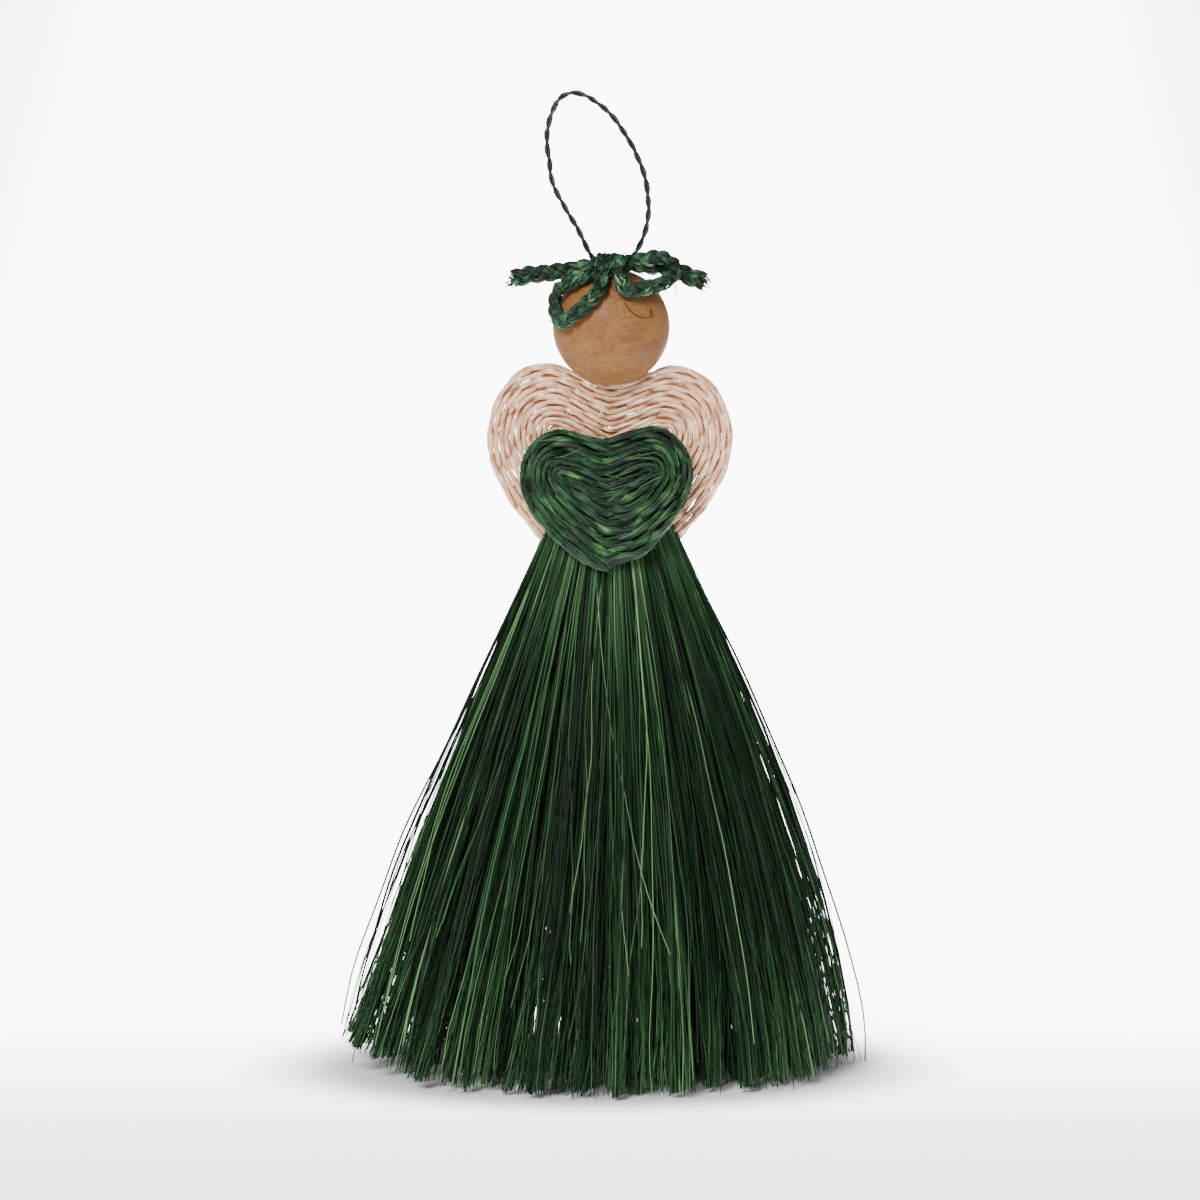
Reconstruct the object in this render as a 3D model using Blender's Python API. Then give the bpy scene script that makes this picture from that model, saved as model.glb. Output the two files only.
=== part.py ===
"""Woven angel ornament: skirt of stiff fibres, two coiled-yarn hearts, bead head, bow and hanging cord.

Metres, +Z up, front towards -Y. The origin is on the floor, at the middle of the skirt's hem.
"""

import math

import bmesh
import bpy
from mathutils import Matrix, Vector, geometry

# Clearance between pieces that touch, and the larger one for faceted round shapes
GAP = 0.0003
ROUND_GAP = 0.00045
GOLDEN_ANGLE = math.radians(137.5)

# Skirt: fibres gathered at the top and spread out to the hem
SKIRT_HEIGHT = 0.1075
HEM_WIDTH = 0.0877
HEM_DEPTH = 0.0680
HEM_LEFT_LIFT = 0.0046
HEM_RIGHT_LIFT = 0.0014
GATHER_WIDTH = 0.0104
GATHER_DEPTH = 0.0108
CROWN_RISE = 0.0010
CROWN_SHARE = 0.72
BODY_SHIFT = 0.0020
SPREAD_POWER = 1.25
DEPTH_POWER = 1.20
SHIFT_POWER = 3
TUFTS = 24
TUFT_RELIEF = 0.0016
TUFT_RELIEF_AT_GATHER = 0.0004
TUFT_END_STEP = 0.0009
TUFT_VARIETY = 0.40
RIM_OUTER_SHARE = 0.91
RIM_INNER_SHARE = 0.82
HOLLOW_BEND_SHARE = 0.46
HOLLOW_BEND_HEIGHT = 0.0260
HOLLOW_TOP_SHARE = 0.07
HOLLOW_HEIGHT = 0.0460
SKIRT_LEVELS = 6
LEVEL_CROWDING = 1.15
END_FADE = 6

# Wings: the large pale heart, upright behind the bodice, with its tip inside the bundle
WING_WIDTH = 0.0424
WING_HEIGHT = 0.0407
WING_NOTCH = 0.0046
WING_TIP_Z = 0.0826
WING_THICKNESS = 0.0026
WING_ROWS = 13
WING_CORE_REACH = 0.42
WING_SHIFT = -0.0002
WING_ROLL = math.radians(1.2)

# Bodice: the small green heart, laid against the front of the bundle
BODICE_WIDTH = 0.0298
BODICE_HEIGHT = 0.0264
BODICE_NOTCH = 0.0020
BODICE_TIP_Z = 0.0874
BODICE_THICKNESS = 0.0026
BODICE_ROWS = 8
BODICE_CORE_REACH = 0.52
BODICE_SHIFT = -0.0005
BODICE_ROLL = math.radians(-2.0)
BODICE_WRAP = 0.0010

# Shape shared by the two hearts, as shares of half the width and of the height
LOBE_TOP = 0.52
WIDEST = 0.67
NOTCH_HANDLE = (0.200, 0.15)
TOP_HANDLE = 0.155
LOBE_ROUND = 0.58
SIDE_FALL = 0.34
TIP_HANDLE = (0.44, 0.15)
CORE_LOBE_DROP = 0.295
CORE_VEE_DROP = 0.44
GROOVE_SHARE = 0.26
RIM_STEP = 0.16
RIM_SHARE = 0.36
SEGMENTS_OF_HALF = (4, 5, 7)
SHARP_ANGLE = math.radians(50)

# Head: a drilled wooden bead that sits in the notch of the wings
BEAD_DIAMETER = 0.0200
BORE_DIAMETER = 0.0054
BEAD_SHIFT = 0.0002
BEAD_AROUND = 28
BEAD_DOWN = 12

# Bow: a flat plait of three strands, tied in front of the bead's bore
LOOP_WIDTH = 0.0024
TAIL_WIDTH = 0.0032
BRAID_THICKNESS = 0.0015
BRAID_STEP = 0.0013
BRAID_SWELL = 0.12
LOOP_END_SHARE = 0.60
KNOT_WIDTH = 0.0050
KNOT_DEPTH = 0.0032
KNOT_HEIGHT = 0.0037

# Middle of the knot: right, back and up from the bead's centre, in bead radii
KNOT_SHARES = (-0.02, -0.46, 1.13)

# How far a limb's broad face turns from straight ahead, sideways and up, at one bead radius out
LOOP_FACING = (0.80, 0.30)
TAIL_FACING = (0.10, 0.10)

# Limbs of the bow: right, back and up from the bead's centre, in bead radii
BOW_LIMBS = {
    "left_loop": (
        (-0.12, -0.40, 1.10),
        (-0.37, -0.53, 1.03),
        (-0.57, -0.54, 0.92),
        (-0.78, -0.48, 0.81),
        (-0.96, -0.36, 0.66),
        (-1.03, -0.37, 0.47),
        (-0.97, -0.54, 0.31),
        (-0.85, -0.74, 0.21),
        (-0.66, -0.89, 0.31),
        (-0.47, -0.95, 0.48),
        (-0.30, -0.92, 0.63),
        (-0.19, -0.82, 0.81),
        (-0.16, -0.68, 1.00),
        (-0.10, -0.52, 1.15),
    ),
    "right_loop": (
        (0.08, -0.40, 1.16),
        (0.35, -0.44, 1.19),
        (0.61, -0.41, 1.24),
        (0.85, -0.35, 1.26),
        (1.04, -0.32, 1.17),
        (1.10, -0.37, 1.00),
        (0.96, -0.47, 0.86),
        (0.77, -0.58, 0.79),
        (0.56, -0.72, 0.76),
        (0.35, -0.84, 0.72),
        (0.23, -0.87, 0.78),
        (0.17, -0.78, 0.93),
        (0.14, -0.66, 1.04),
        (0.08, -0.54, 1.16),
    ),
    "left_tail": (
        (-0.05, -0.36, 1.13),
        (-0.37, -0.35, 1.08),
        (-0.68, -0.32, 1.03),
        (-0.99, -0.27, 0.98),
        (-1.32, -0.22, 0.94),
        (-1.69, -0.17, 0.86),
    ),
    "right_tail": (
        (0.06, -0.34, 1.15),
        (0.42, -0.28, 1.13),
        (0.73, -0.22, 1.10),
        (1.01, -0.14, 1.05),
        (1.25, -0.11, 0.94),
        (1.44, -0.15, 0.86),
        (1.60, -0.17, 0.83),
    ),
}

# Hanging cord: one twisted cord, looped up from the bead, with both ends down behind the wings
CORD_DIAMETER = 0.0011
CORD_POINT_STEP = 0.0027
CORD_LEG_SPREAD = 0.0010
CORD_BEND_DROP = 0.0090
CORD_BEND_BACK = 0.0012

# Route of the loop: right, back and up from the top of the bead
LOOP_ROUTE = (
    (-0.0016, 0.0000, -0.0004),
    (-0.0024, 0.0000, 0.0008),
    (-0.0037, 0.0001, 0.0028),
    (-0.0048, 0.0003, 0.0050),
    (-0.0059, 0.0004, 0.0072),
    (-0.0070, 0.0005, 0.0090),
    (-0.0081, 0.0007, 0.0109),
    (-0.0093, 0.0009, 0.0130),
    (-0.0102, 0.0010, 0.0153),
    (-0.0106, 0.0011, 0.0178),
    (-0.0110, 0.0012, 0.0207),
    (-0.0111, 0.0012, 0.0234),
    (-0.0106, 0.0012, 0.0260),
    (-0.0097, 0.0012, 0.0283),
    (-0.0085, 0.0011, 0.0299),
    (-0.0066, 0.0010, 0.0306),
    (-0.0045, 0.0009, 0.0301),
    (-0.0024, 0.0007, 0.0289),
    (-0.0005, 0.0005, 0.0273),
    (0.0012, 0.0003, 0.0253),
    (0.0030, 0.0001, 0.0225),
    (0.0043, 0.0000, 0.0200),
    (0.0054, -0.0001, 0.0174),
    (0.0061, -0.0002, 0.0148),
    (0.0064, -0.0003, 0.0121),
    (0.0064, -0.0003, 0.0099),
    (0.0061, -0.0003, 0.0074),
    (0.0052, -0.0002, 0.0049),
    (0.0039, -0.0001, 0.0024),
    (0.0027, 0.0000, 0.0009),
    (0.0016, 0.0000, -0.0004),
)

# Finishes: colour, roughness and metallic value
GREEN_FIBRE = ("dyed_green_fibre", (0.020, 0.075, 0.030), 0.55, 0.0)
GREEN_YARN = ("dyed_green_yarn", (0.028, 0.095, 0.040), 0.55, 0.0)
PALE_YARN = ("blush_yarn", (0.760, 0.550, 0.430), 0.50, 0.0)
BEAD_WOOD = ("varnished_wood", (0.480, 0.265, 0.130), 0.42, 0.0)


def clear_scene():
    """Removes the objects that the file opened with."""
    for obj in list(bpy.data.objects):
        bpy.data.objects.remove(obj)


def finish(name, color, roughness, metallic):
    """A plain Principled material, made once for each name."""
    material = bpy.data.materials.get(name)
    if material is None:
        material = bpy.data.materials.new(name)
        material.use_nodes = True
        shader = material.node_tree.nodes["Principled BSDF"]
        shader.inputs["Base Color"].default_value = (*color, 1.0)
        shader.inputs["Roughness"].default_value = roughness
        shader.inputs["Metallic"].default_value = metallic
    return material


def object_from(bm, name, look, smooth_angle=None):
    """Turns a bmesh into a linked object with its faces pointing out."""
    bmesh.ops.recalc_face_normals(bm, faces=bm.faces)
    mesh = bpy.data.meshes.new(name)
    bm.to_mesh(mesh)
    bm.free()
    if smooth_angle is not None:
        mesh.shade_smooth()
        mesh.set_sharp_from_angle(angle=smooth_angle)
    mesh.materials.append(finish(*look))
    obj = bpy.data.objects.new(name, mesh)
    bpy.context.scene.collection.objects.link(obj)
    return obj


def helper(obj):
    """Marks a cutter or another guide, which isn't part of the ornament."""
    obj.hide_render = True
    obj.display_type = "WIRE"
    return obj


def add_boolean(obj, other, operation, use_self=False):
    """Joins a helper to an object, or cuts it away. With use_self a helper may run through itself."""
    modifier = obj.modifiers.new(f"{operation.lower()}_{other.name}", "BOOLEAN")
    modifier.operation = operation
    modifier.solver = "EXACT"
    modifier.use_self = use_self
    modifier.object = helper(other)


def bridge(bm, first, second):
    """Joins two rings of vertices of the same length with quads."""
    count = len(first)
    for i in range(count):
        j = (i + 1) % count
        bm.faces.new((first[i], first[j], second[j], second[i]))


def loft(rings):
    """A closed body through rings of points, with a flat face at each end."""
    bm = bmesh.new()
    made = [[bm.verts.new(point) for point in ring] for ring in rings]
    for first, second in zip(made, made[1:]):
        bridge(bm, first, second)
    bm.faces.new(made[0])
    bm.faces.new(made[-1])
    return bm


def smooth_route(points, step):
    """Points about a step apart on a smooth curve through the given ones."""
    knots = [Vector(p) for p in points]
    ends = [2 * knots[0] - knots[1], *knots, 2 * knots[-1] - knots[-2]]
    fine = []
    per_span = 12
    for before, start, end, after in zip(ends, ends[1:], ends[2:], ends[3:]):
        lead, trail = (end - before) / 6, (after - start) / 6
        fine += geometry.interpolate_bezier(start, start + lead, end - trail, end, per_span)[:-1]
    fine.append(knots[-1])
    along = [0.0]
    for first, second in zip(fine, fine[1:]):
        along.append(along[-1] + (second - first).length)
    count = max(2, round(along[-1] / step))
    spaced, span = [], 0
    for i in range(count + 1):
        wanted = along[-1] * i / count
        while span < len(fine) - 2 and along[span + 1] < wanted:
            span += 1
        share = (wanted - along[span]) / (along[span + 1] - along[span])
        spaced.append(fine[span].lerp(fine[span + 1], min(1.0, share)))
    return spaced


def skirt_spread(height_share):
    """How far the skirt has opened at a height, from 0 at the gather to 1 at the hem."""
    return 1 - height_share**SPREAD_POWER


def skirt_half_width(height_share):
    """Half the skirt's width at a share of its height."""
    return (GATHER_WIDTH + (HEM_WIDTH - GATHER_WIDTH) * skirt_spread(height_share)) / 2


def skirt_half_depth(height_share):
    """Half the skirt's depth, which opens later than its width."""
    opened = skirt_spread(height_share) ** DEPTH_POWER
    return (GATHER_DEPTH + (HEM_DEPTH - GATHER_DEPTH) * opened) / 2


def skirt_centre(height_share):
    """Where the skirt's middle lies to the right of the hem's middle."""
    return BODY_SHIFT * (1 - (1 - height_share) ** SHIFT_POWER)


def skirt_ring(height_share):
    """One ring of the skirt, with a ridge and a hollow for each tuft of fibres."""
    half_width, half_depth = skirt_half_width(height_share), skirt_half_depth(height_share)
    relief = TUFT_RELIEF_AT_GATHER + (TUFT_RELIEF - TUFT_RELIEF_AT_GATHER) * skirt_spread(height_share)
    ring = []
    for i in range(2 * TUFTS):
        angle = math.pi * i / TUFTS
        hollow = (i % 2) * (1 + TUFT_VARIETY * math.sin(GOLDEN_ANGLE * i))
        sunk = relief * hollow
        side_lift = HEM_RIGHT_LIFT if math.cos(angle) > 0 else HEM_LEFT_LIFT
        lift = side_lift * math.cos(angle) ** 4 + TUFT_END_STEP * hollow
        x = skirt_centre(height_share) + (half_width - sunk) * math.cos(angle)
        y = (half_depth - sunk) * math.sin(angle)
        z = SKIRT_HEIGHT * height_share + lift * (1 - height_share) ** END_FADE
        ring.append(Vector((x, y, z)))
    return ring


def heart_half(width, height, notch, counts):
    """Right half of a heart, its tip at the origin, as (x, z) from the notch down to the tip."""
    half = width / 2
    dip = Vector((0, height - notch))
    top = Vector((LOBE_TOP * half, height))
    side = Vector((half, WIDEST * height))
    tip = Vector((0, 0))
    spans = (
        (
            dip,
            dip + Vector((NOTCH_HANDLE[0] * half, NOTCH_HANDLE[1] * notch)),
            top - Vector((TOP_HANDLE * half, 0)),
            top,
        ),
        (
            top,
            top + Vector(((half - top.x) * LOBE_ROUND, 0)),
            side + Vector((0, (height - side.y) * LOBE_ROUND)),
            side,
        ),
        (
            side,
            side - Vector((0, side.y * SIDE_FALL)),
            tip + Vector((TIP_HANDLE[0] * half, TIP_HANDLE[1] * height)),
            tip,
        ),
    )
    points = []
    for (start, lead, trail, end), count in zip(spans, counts):
        span = geometry.interpolate_bezier(start, lead, trail, end, count + 1)
        points += [Vector(p[:2]) for p in span[:-1]]
    return [*points, tip]


def both_halves(half):
    """The whole closed ring from its right half, whose ends lie on the middle line."""
    return [*half, *[Vector((-p.x, p.y)) for p in reversed(half[1:-1])]]


def core_half(width, height, reach, thickness, count):
    """Right half of the thin vee that the rows of yarn are wound around."""
    lobe = Vector((reach * width / 2, height * (1 - CORE_LOBE_DROP)))
    vee = Vector((0, height * (1 - CORE_VEE_DROP)))
    points = []
    for i in range(count + 1):
        turn = math.pi * i / count
        points.append(vee.lerp(lobe, math.sin(turn)))
        points[-1].y += thickness / 2 * math.cos(turn)
    points[0].x = points[-1].x = 0.0
    return points


def coiled_heart(name, look, width, height, notch, thickness, rows, reach, wrap=0.0):
    """A flat heart of yarn rows wound around a vee, each row a rounded ridge on both faces."""
    half = heart_half(width, height, notch, SEGMENTS_OF_HALF)
    outline = both_halves(half)
    core = both_halves(core_half(width, height, reach, width / (4 * rows), len(half) - 1))
    groove = thickness * GROOVE_SHARE

    def ring(row, face, depth):
        share = row / rows
        flat = [edge.lerp(middle, share) for edge, middle in zip(outline, core)]
        return [Vector((p.x, face * depth + wrap * (2 * p.x / width) ** 2, p.y)) for p in flat]

    bm = bmesh.new()
    rim = [bm.verts.new(p) for p in ring(0, 0, 0)]
    for face in (-1, 1):
        levels = [ring(RIM_STEP, face, thickness * RIM_SHARE)]
        for row in range(rows):
            levels.append(ring(row + 0.5, face, thickness / 2))
            levels.append(ring(row + 1, face, thickness / 2 - groove))
        last = rim
        for level in levels:
            made = [bm.verts.new(p) for p in level]
            bridge(bm, last, made)
            last = made
        bm.faces.new(last)
    return object_from(bm, name, look, SHARP_ANGLE)


def wing_outline_world():
    """The outer edge of the wings in the ornament's frame, as (x, z)."""
    half = heart_half(WING_WIDTH, WING_HEIGHT, WING_NOTCH, SEGMENTS_OF_HALF)
    turn = Matrix.Rotation(-WING_ROLL, 2)
    middle = Vector((0, WING_HEIGHT / 2))
    place = Vector((BODY_SHIFT + WING_SHIFT, WING_TIP_Z)) + middle
    return [turn @ (p - middle) + place for p in both_halves(half)]


def wing_slot():
    """The space that the wings take up in the bundle, with a clearance all round."""
    edge = wing_outline_world()
    grown = []
    for i, point in enumerate(edge):
        along = (edge[(i + 1) % len(edge)] - edge[i - 1]).normalized()
        grown.append(point + Vector((-along.y, along.x)) * ROUND_GAP)
    deep = WING_THICKNESS / 2 + GAP
    faces = [[Vector((p.x, y, p.y)) for p in grown] for y in (-deep, deep)]
    return object_from(loft(faces), "wing_slot", PALE_YARN)


def build_skirt():
    """The bundle of fibres, open from below as they spread, with a slot for the tip of the wings."""
    rings = [skirt_ring((level / SKIRT_LEVELS) ** LEVEL_CROWDING) for level in range(SKIRT_LEVELS + 1)]
    inside = []
    for share, height in (
        (HOLLOW_TOP_SHARE, HOLLOW_HEIGHT),
        (HOLLOW_BEND_SHARE, HOLLOW_BEND_HEIGHT),
        (RIM_INNER_SHARE, 0),
        (RIM_OUTER_SHARE, 0),
    ):
        inside.append([Vector((p.x * share, p.y * share, height)) for p in rings[0]])
    middle = Vector((BODY_SHIFT, 0, SKIRT_HEIGHT))
    crown = [middle.lerp(p, CROWN_SHARE) + Vector((0, 0, CROWN_RISE)) for p in rings[-1]]
    skirt = object_from(loft([*inside, *rings, crown]), "fibre_skirt", GREEN_FIBRE, math.radians(20))
    add_boolean(skirt, wing_slot(), "DIFFERENCE")
    return skirt


def build_wings():
    """The pale heart, upright in the middle of the bundle."""
    wings = coiled_heart(
        "wing_heart",
        PALE_YARN,
        WING_WIDTH,
        WING_HEIGHT,
        WING_NOTCH,
        WING_THICKNESS,
        WING_ROWS,
        WING_CORE_REACH,
    )
    wings.matrix_world = rolled((BODY_SHIFT + WING_SHIFT, 0, WING_TIP_Z), WING_HEIGHT, WING_ROLL)
    return wings


def rolled(tip, height, roll):
    """Places a heart by its tip, turned about its middle by a roll towards the right."""
    middle = Vector((0, 0, height / 2))
    turn = Matrix.Translation(middle) @ Matrix.Rotation(roll, 4, "Y") @ Matrix.Translation(-middle)
    return Matrix.Translation(Vector(tip)) @ turn


def bodice_lean():
    """Back face of the bodice as it lies against the bundle: its lean from upright, and y at the tip."""

    def front(z):
        return -skirt_half_depth(min(1.0, z / SKIRT_HEIGHT)) - GAP

    low, high = BODICE_TIP_Z, BODICE_TIP_Z + BODICE_HEIGHT * (1 - CORE_LOBE_DROP)
    lean = math.atan2(front(high) - front(low), high - low)
    heights = [low + (high - low) * i / 20 for i in range(21)]
    tip_y = min(front(z) - (z - low) * math.tan(lean) for z in heights)
    return lean, tip_y


def build_bodice():
    """The green heart, leaning back with the front of the bundle."""
    bodice = coiled_heart(
        "bodice_heart",
        GREEN_YARN,
        BODICE_WIDTH,
        BODICE_HEIGHT,
        BODICE_NOTCH,
        BODICE_THICKNESS,
        BODICE_ROWS,
        BODICE_CORE_REACH,
        BODICE_WRAP,
    )
    lean, tip_y = bodice_lean()
    stand = BODICE_THICKNESS / 2 / math.cos(lean)
    place = Matrix.Translation((BODY_SHIFT + BODICE_SHIFT, tip_y - stand, BODICE_TIP_Z))
    leant = Matrix.Rotation(-lean, 4, "X")
    bodice.matrix_world = place @ leant @ rolled((0, 0, 0), BODICE_HEIGHT, BODICE_ROLL)
    return bodice


def bead_centre():
    """The bead's centre, where it has sunk into the notch until it meets the wings' shoulders."""
    reach = BEAD_DIAMETER / 2 + GAP
    middle = BODY_SHIFT + BEAD_SHIFT
    edge = wing_outline_world()
    resting = []
    for first, second in zip(edge, [*edge[1:], edge[0]]):
        for share in (0, 0.25, 0.5, 0.75):
            point = first.lerp(second, share)
            if abs(point.x - middle) < reach:
                resting.append(point.y + math.sqrt(reach**2 - (point.x - middle) ** 2))
    return Vector((middle, 0, max(resting)))


def build_bead():
    """The wooden bead, drilled through from top to bottom."""
    radius, bore = BEAD_DIAMETER / 2, BORE_DIAMETER / 2
    start = math.asin(bore / radius)
    bm = bmesh.new()
    profile = []
    for i in range(BEAD_DOWN + 1):
        angle = start + (math.pi - 2 * start) * i / BEAD_DOWN
        profile.append(bm.verts.new((radius * math.sin(angle), 0, radius * math.cos(angle))))
    edges = [bm.edges.new((a, b)) for a, b in zip(profile, [*profile[1:], profile[0]])]
    bmesh.ops.spin(
        bm,
        geom=[*profile, *edges],
        cent=(0, 0, 0),
        axis=(0, 0, 1),
        angle=2 * math.pi,
        steps=BEAD_AROUND,
        use_merge=True,
    )
    bmesh.ops.remove_doubles(bm, verts=bm.verts, dist=1e-6)
    bead = object_from(bm, "head_bead", BEAD_WOOD, math.radians(35))
    bead.location = bead_centre()
    return bead


def plait_rings(route, centre, is_loop):
    """Rings of a flat plait along a route, pushed clear of the bead. A loop narrows at the knot."""
    clear = BEAD_DIAMETER / 2 + ROUND_GAP
    sides = 8
    width, facing = (LOOP_WIDTH, LOOP_FACING) if is_loop else (TAIL_WIDTH, TAIL_FACING)
    rings = []
    for i, point in enumerate(route):
        along = (route[min(i + 1, len(route) - 1)] - route[max(i - 1, 0)]).normalized()
        out = (point - centre) / (BEAD_DIAMETER / 2)
        side = along.cross(Vector((out.x * facing[0], -1, out.z * facing[1]))).normalized()
        normal = side.cross(along)
        swell = 1 + BRAID_SWELL * (-1) ** i
        if is_loop and i in (0, len(route) - 1):
            swell *= LOOP_END_SHARE
        ring = []
        for k in range(sides):
            turn = 2 * math.pi * k / sides
            across = side * width / 2 * math.cos(turn) * swell
            ring.append(point + across + normal * BRAID_THICKNESS / 2 * math.sin(turn) * swell)
        for _ in range(3):
            short = clear - min((p - centre).length for p in ring)
            if short > 0:
                push = (point - centre).normalized() * short * 1.1
                ring = [p + push for p in ring]
        rings.append(ring)
    return rings


def build_bow(centre):
    """The bow: two loops and two tails of flat plait, joined in a small knot."""
    radius = BEAD_DIAMETER / 2
    bm = bmesh.new()
    bmesh.ops.create_uvsphere(bm, u_segments=10, v_segments=7, radius=1)
    bmesh.ops.scale(bm, vec=Vector((KNOT_WIDTH, KNOT_DEPTH, KNOT_HEIGHT)) / 2, verts=bm.verts)
    bmesh.ops.translate(bm, vec=centre + Vector(KNOT_SHARES) * radius, verts=bm.verts)
    bow = object_from(bm, "braided_bow", GREEN_YARN, math.radians(40))
    for limb, shares in BOW_LIMBS.items():
        route = smooth_route([centre + Vector(p) * radius for p in shares], BRAID_STEP)
        rings = plait_rings(route, centre, "loop" in limb)
        add_boolean(bow, object_from(loft(rings), limb, GREEN_YARN), "UNION", use_self=True)
    return bow


def cord_route(centre):
    """The cord from one end behind the wings, up through the bead, round the loop and down again."""
    radius = BEAD_DIAMETER / 2
    behind = WING_THICKNESS / 2 + GAP + CORD_DIAMETER / 2
    notch_z = WING_TIP_Z + WING_HEIGHT - WING_NOTCH
    end_z = SKIRT_HEIGHT + CROWN_RISE + GAP
    leg = [
        Vector((CORD_LEG_SPREAD, behind + CORD_DIAMETER, end_z)),
        Vector((CORD_LEG_SPREAD, behind + CORD_DIAMETER / 2, (end_z + notch_z) / 2)),
        Vector((CORD_LEG_SPREAD, behind, notch_z)),
        Vector((CORD_LEG_SPREAD, CORD_BEND_BACK, centre.z - CORD_BEND_DROP)),
        Vector((CORD_LEG_SPREAD, 0, centre.z)),
    ]
    left = [Vector((centre.x - p.x, p.y, p.z)) for p in leg]
    right = [Vector((centre.x + p.x, p.y, p.z)) for p in leg]
    top = centre + Vector((0, 0, radius))
    return [*left, *[top + Vector(p) for p in LOOP_ROUTE], *reversed(right)]


def build_cord(centre):
    """The twisted hanging cord, as a round tube of its real length."""
    curve = bpy.data.curves.new("hanging_cord", "CURVE")
    curve.dimensions = "3D"
    curve.bevel_depth = CORD_DIAMETER / 2
    curve.bevel_resolution = 2
    curve.use_fill_caps = True
    points = smooth_route(cord_route(centre), CORD_POINT_STEP)
    spline = curve.splines.new("POLY")
    spline.points.add(len(points) - 1)
    for slot, point in zip(spline.points, points):
        slot.co = (*point, 1)
    curve.materials.append(finish(*GREEN_YARN))
    cord = bpy.data.objects.new("hanging_cord", curve)
    bpy.context.scene.collection.objects.link(cord)
    return cord


def main():
    """Builds the ornament from the floor up."""
    clear_scene()
    build_skirt()
    build_wings()
    build_bodice()
    build_bead()
    centre = bead_centre()
    build_bow(centre)
    build_cord(centre)


main()
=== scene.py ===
"""Looks of the woven angel ornament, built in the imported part's frame.

Metres, +Z up, front towards -Y. The ornament stands on its hem, as in the photograph.
"""

from __future__ import annotations

import functools
import logging
import math
from dataclasses import dataclass
from enum import Enum
from typing import Any

import bmesh
import bpy
import numpy as np
from mathutils import Matrix, Vector

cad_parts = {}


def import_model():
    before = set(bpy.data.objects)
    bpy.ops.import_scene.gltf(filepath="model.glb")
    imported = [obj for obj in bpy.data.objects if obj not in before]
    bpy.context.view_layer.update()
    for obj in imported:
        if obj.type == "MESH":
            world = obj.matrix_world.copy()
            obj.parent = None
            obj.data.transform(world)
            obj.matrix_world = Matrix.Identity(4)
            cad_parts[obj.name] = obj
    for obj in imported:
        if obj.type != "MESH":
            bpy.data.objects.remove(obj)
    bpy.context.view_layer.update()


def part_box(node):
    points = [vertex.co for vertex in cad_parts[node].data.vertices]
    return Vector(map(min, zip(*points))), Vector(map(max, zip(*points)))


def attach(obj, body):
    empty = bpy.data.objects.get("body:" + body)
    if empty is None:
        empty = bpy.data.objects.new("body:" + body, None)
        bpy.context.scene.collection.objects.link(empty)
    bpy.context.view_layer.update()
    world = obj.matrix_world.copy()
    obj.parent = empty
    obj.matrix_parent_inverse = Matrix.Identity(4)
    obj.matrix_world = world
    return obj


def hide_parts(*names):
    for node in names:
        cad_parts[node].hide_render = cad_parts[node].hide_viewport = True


log = logging.getLogger("angel_ornament")

MM = 0.001
BODY = "root"
GOLDEN_ANGLE = math.radians(137.5)
TINY = 1e-12

# Points on each span of a smooth curve, and the four places that give a fibre its bend
SPAN_POINTS = 12
THIRDS = (0.0, 1 / 3, 2 / 3, 1.0)

# Steps through a noise that give each seed, ply and streak a pattern of its own, and a noise's mean
SEED_STEP, PLY_STEP, STREAK_STEP = 31.7, 7.3, 17.0
NOISE_MEAN = 0.5

# Kinds of node that both sorts of tree use often
MATH = "ShaderNodeMath"
VECTOR_MATH = "ShaderNodeVectorMath"
NOISE = "ShaderNodeTexNoise"
MAP_RANGE = "ShaderNodeMapRange"
READ = "GeometryNodeInputNamedAttribute"
STORE = "GeometryNodeStoreNamedAttribute"

# Attributes that carry a strand's own directions, sizes and shade to trees and materials
ACROSS, DEEP, GIRTH = "across", "deep", "girth"
ALONG, AROUND, TONE, PLY = "along", "around", "tone", "ply"

# The sRGB transfer curve
SRGB_KNEE, SRGB_SLOPE, SRGB_OFFSET, SRGB_POWER = 0.04045, 12.92, 0.055, 2.4


def linear(hex_colour: str) -> tuple[float, float, float, float]:
    """Turns an sRGB hex colour into linear values.

    Args:
        hex_colour: Six hex digits after a hash mark.

    Returns:
        Red, green, blue and an alpha of one.
    """
    shares = [int(hex_colour[i : i + 2], 16) / 255 for i in (1, 3, 5)]
    low = [c / SRGB_SLOPE for c in shares]
    high = [((c + SRGB_OFFSET) / (1 + SRGB_OFFSET)) ** SRGB_POWER for c in shares]
    return (*[a if c <= SRGB_KNEE else b for c, a, b in zip(shares, low, high)], 1.0)


def add_node(
    tree: bpy.types.NodeTree,
    kind: str,
    inputs: dict[int | str, Any] | None = None,
    stops: list[tuple[float, str]] | None = None,
    **settings: Any,
) -> bpy.types.Node:
    """Adds a node with its settings, values and links.

    Args:
        tree: The tree that gets the node.
        kind: The node's type name.
        inputs: A value, socket or node for each input, by number or name. A node gives its first output.
        stops: Places and hex colours of a colour ramp.
        settings: The node's own properties.

    Returns:
        The new node.
    """
    node = tree.nodes.new(kind)
    for name, value in settings.items():
        setattr(node, name, value)
    for key, value in (inputs or {}).items():
        source = value.outputs[0] if isinstance(value, bpy.types.Node) else value
        if isinstance(source, bpy.types.NodeSocket):
            tree.links.new(source, node.inputs[key])
        else:
            node.inputs[key].default_value = source
    if stops:
        elements = node.color_ramp.elements
        while len(elements) < len(stops):
            elements.new(1.0)
        for element, (place, colour) in zip(elements, stops):
            element.position = place
            element.color = linear(colour)
    return node


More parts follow.
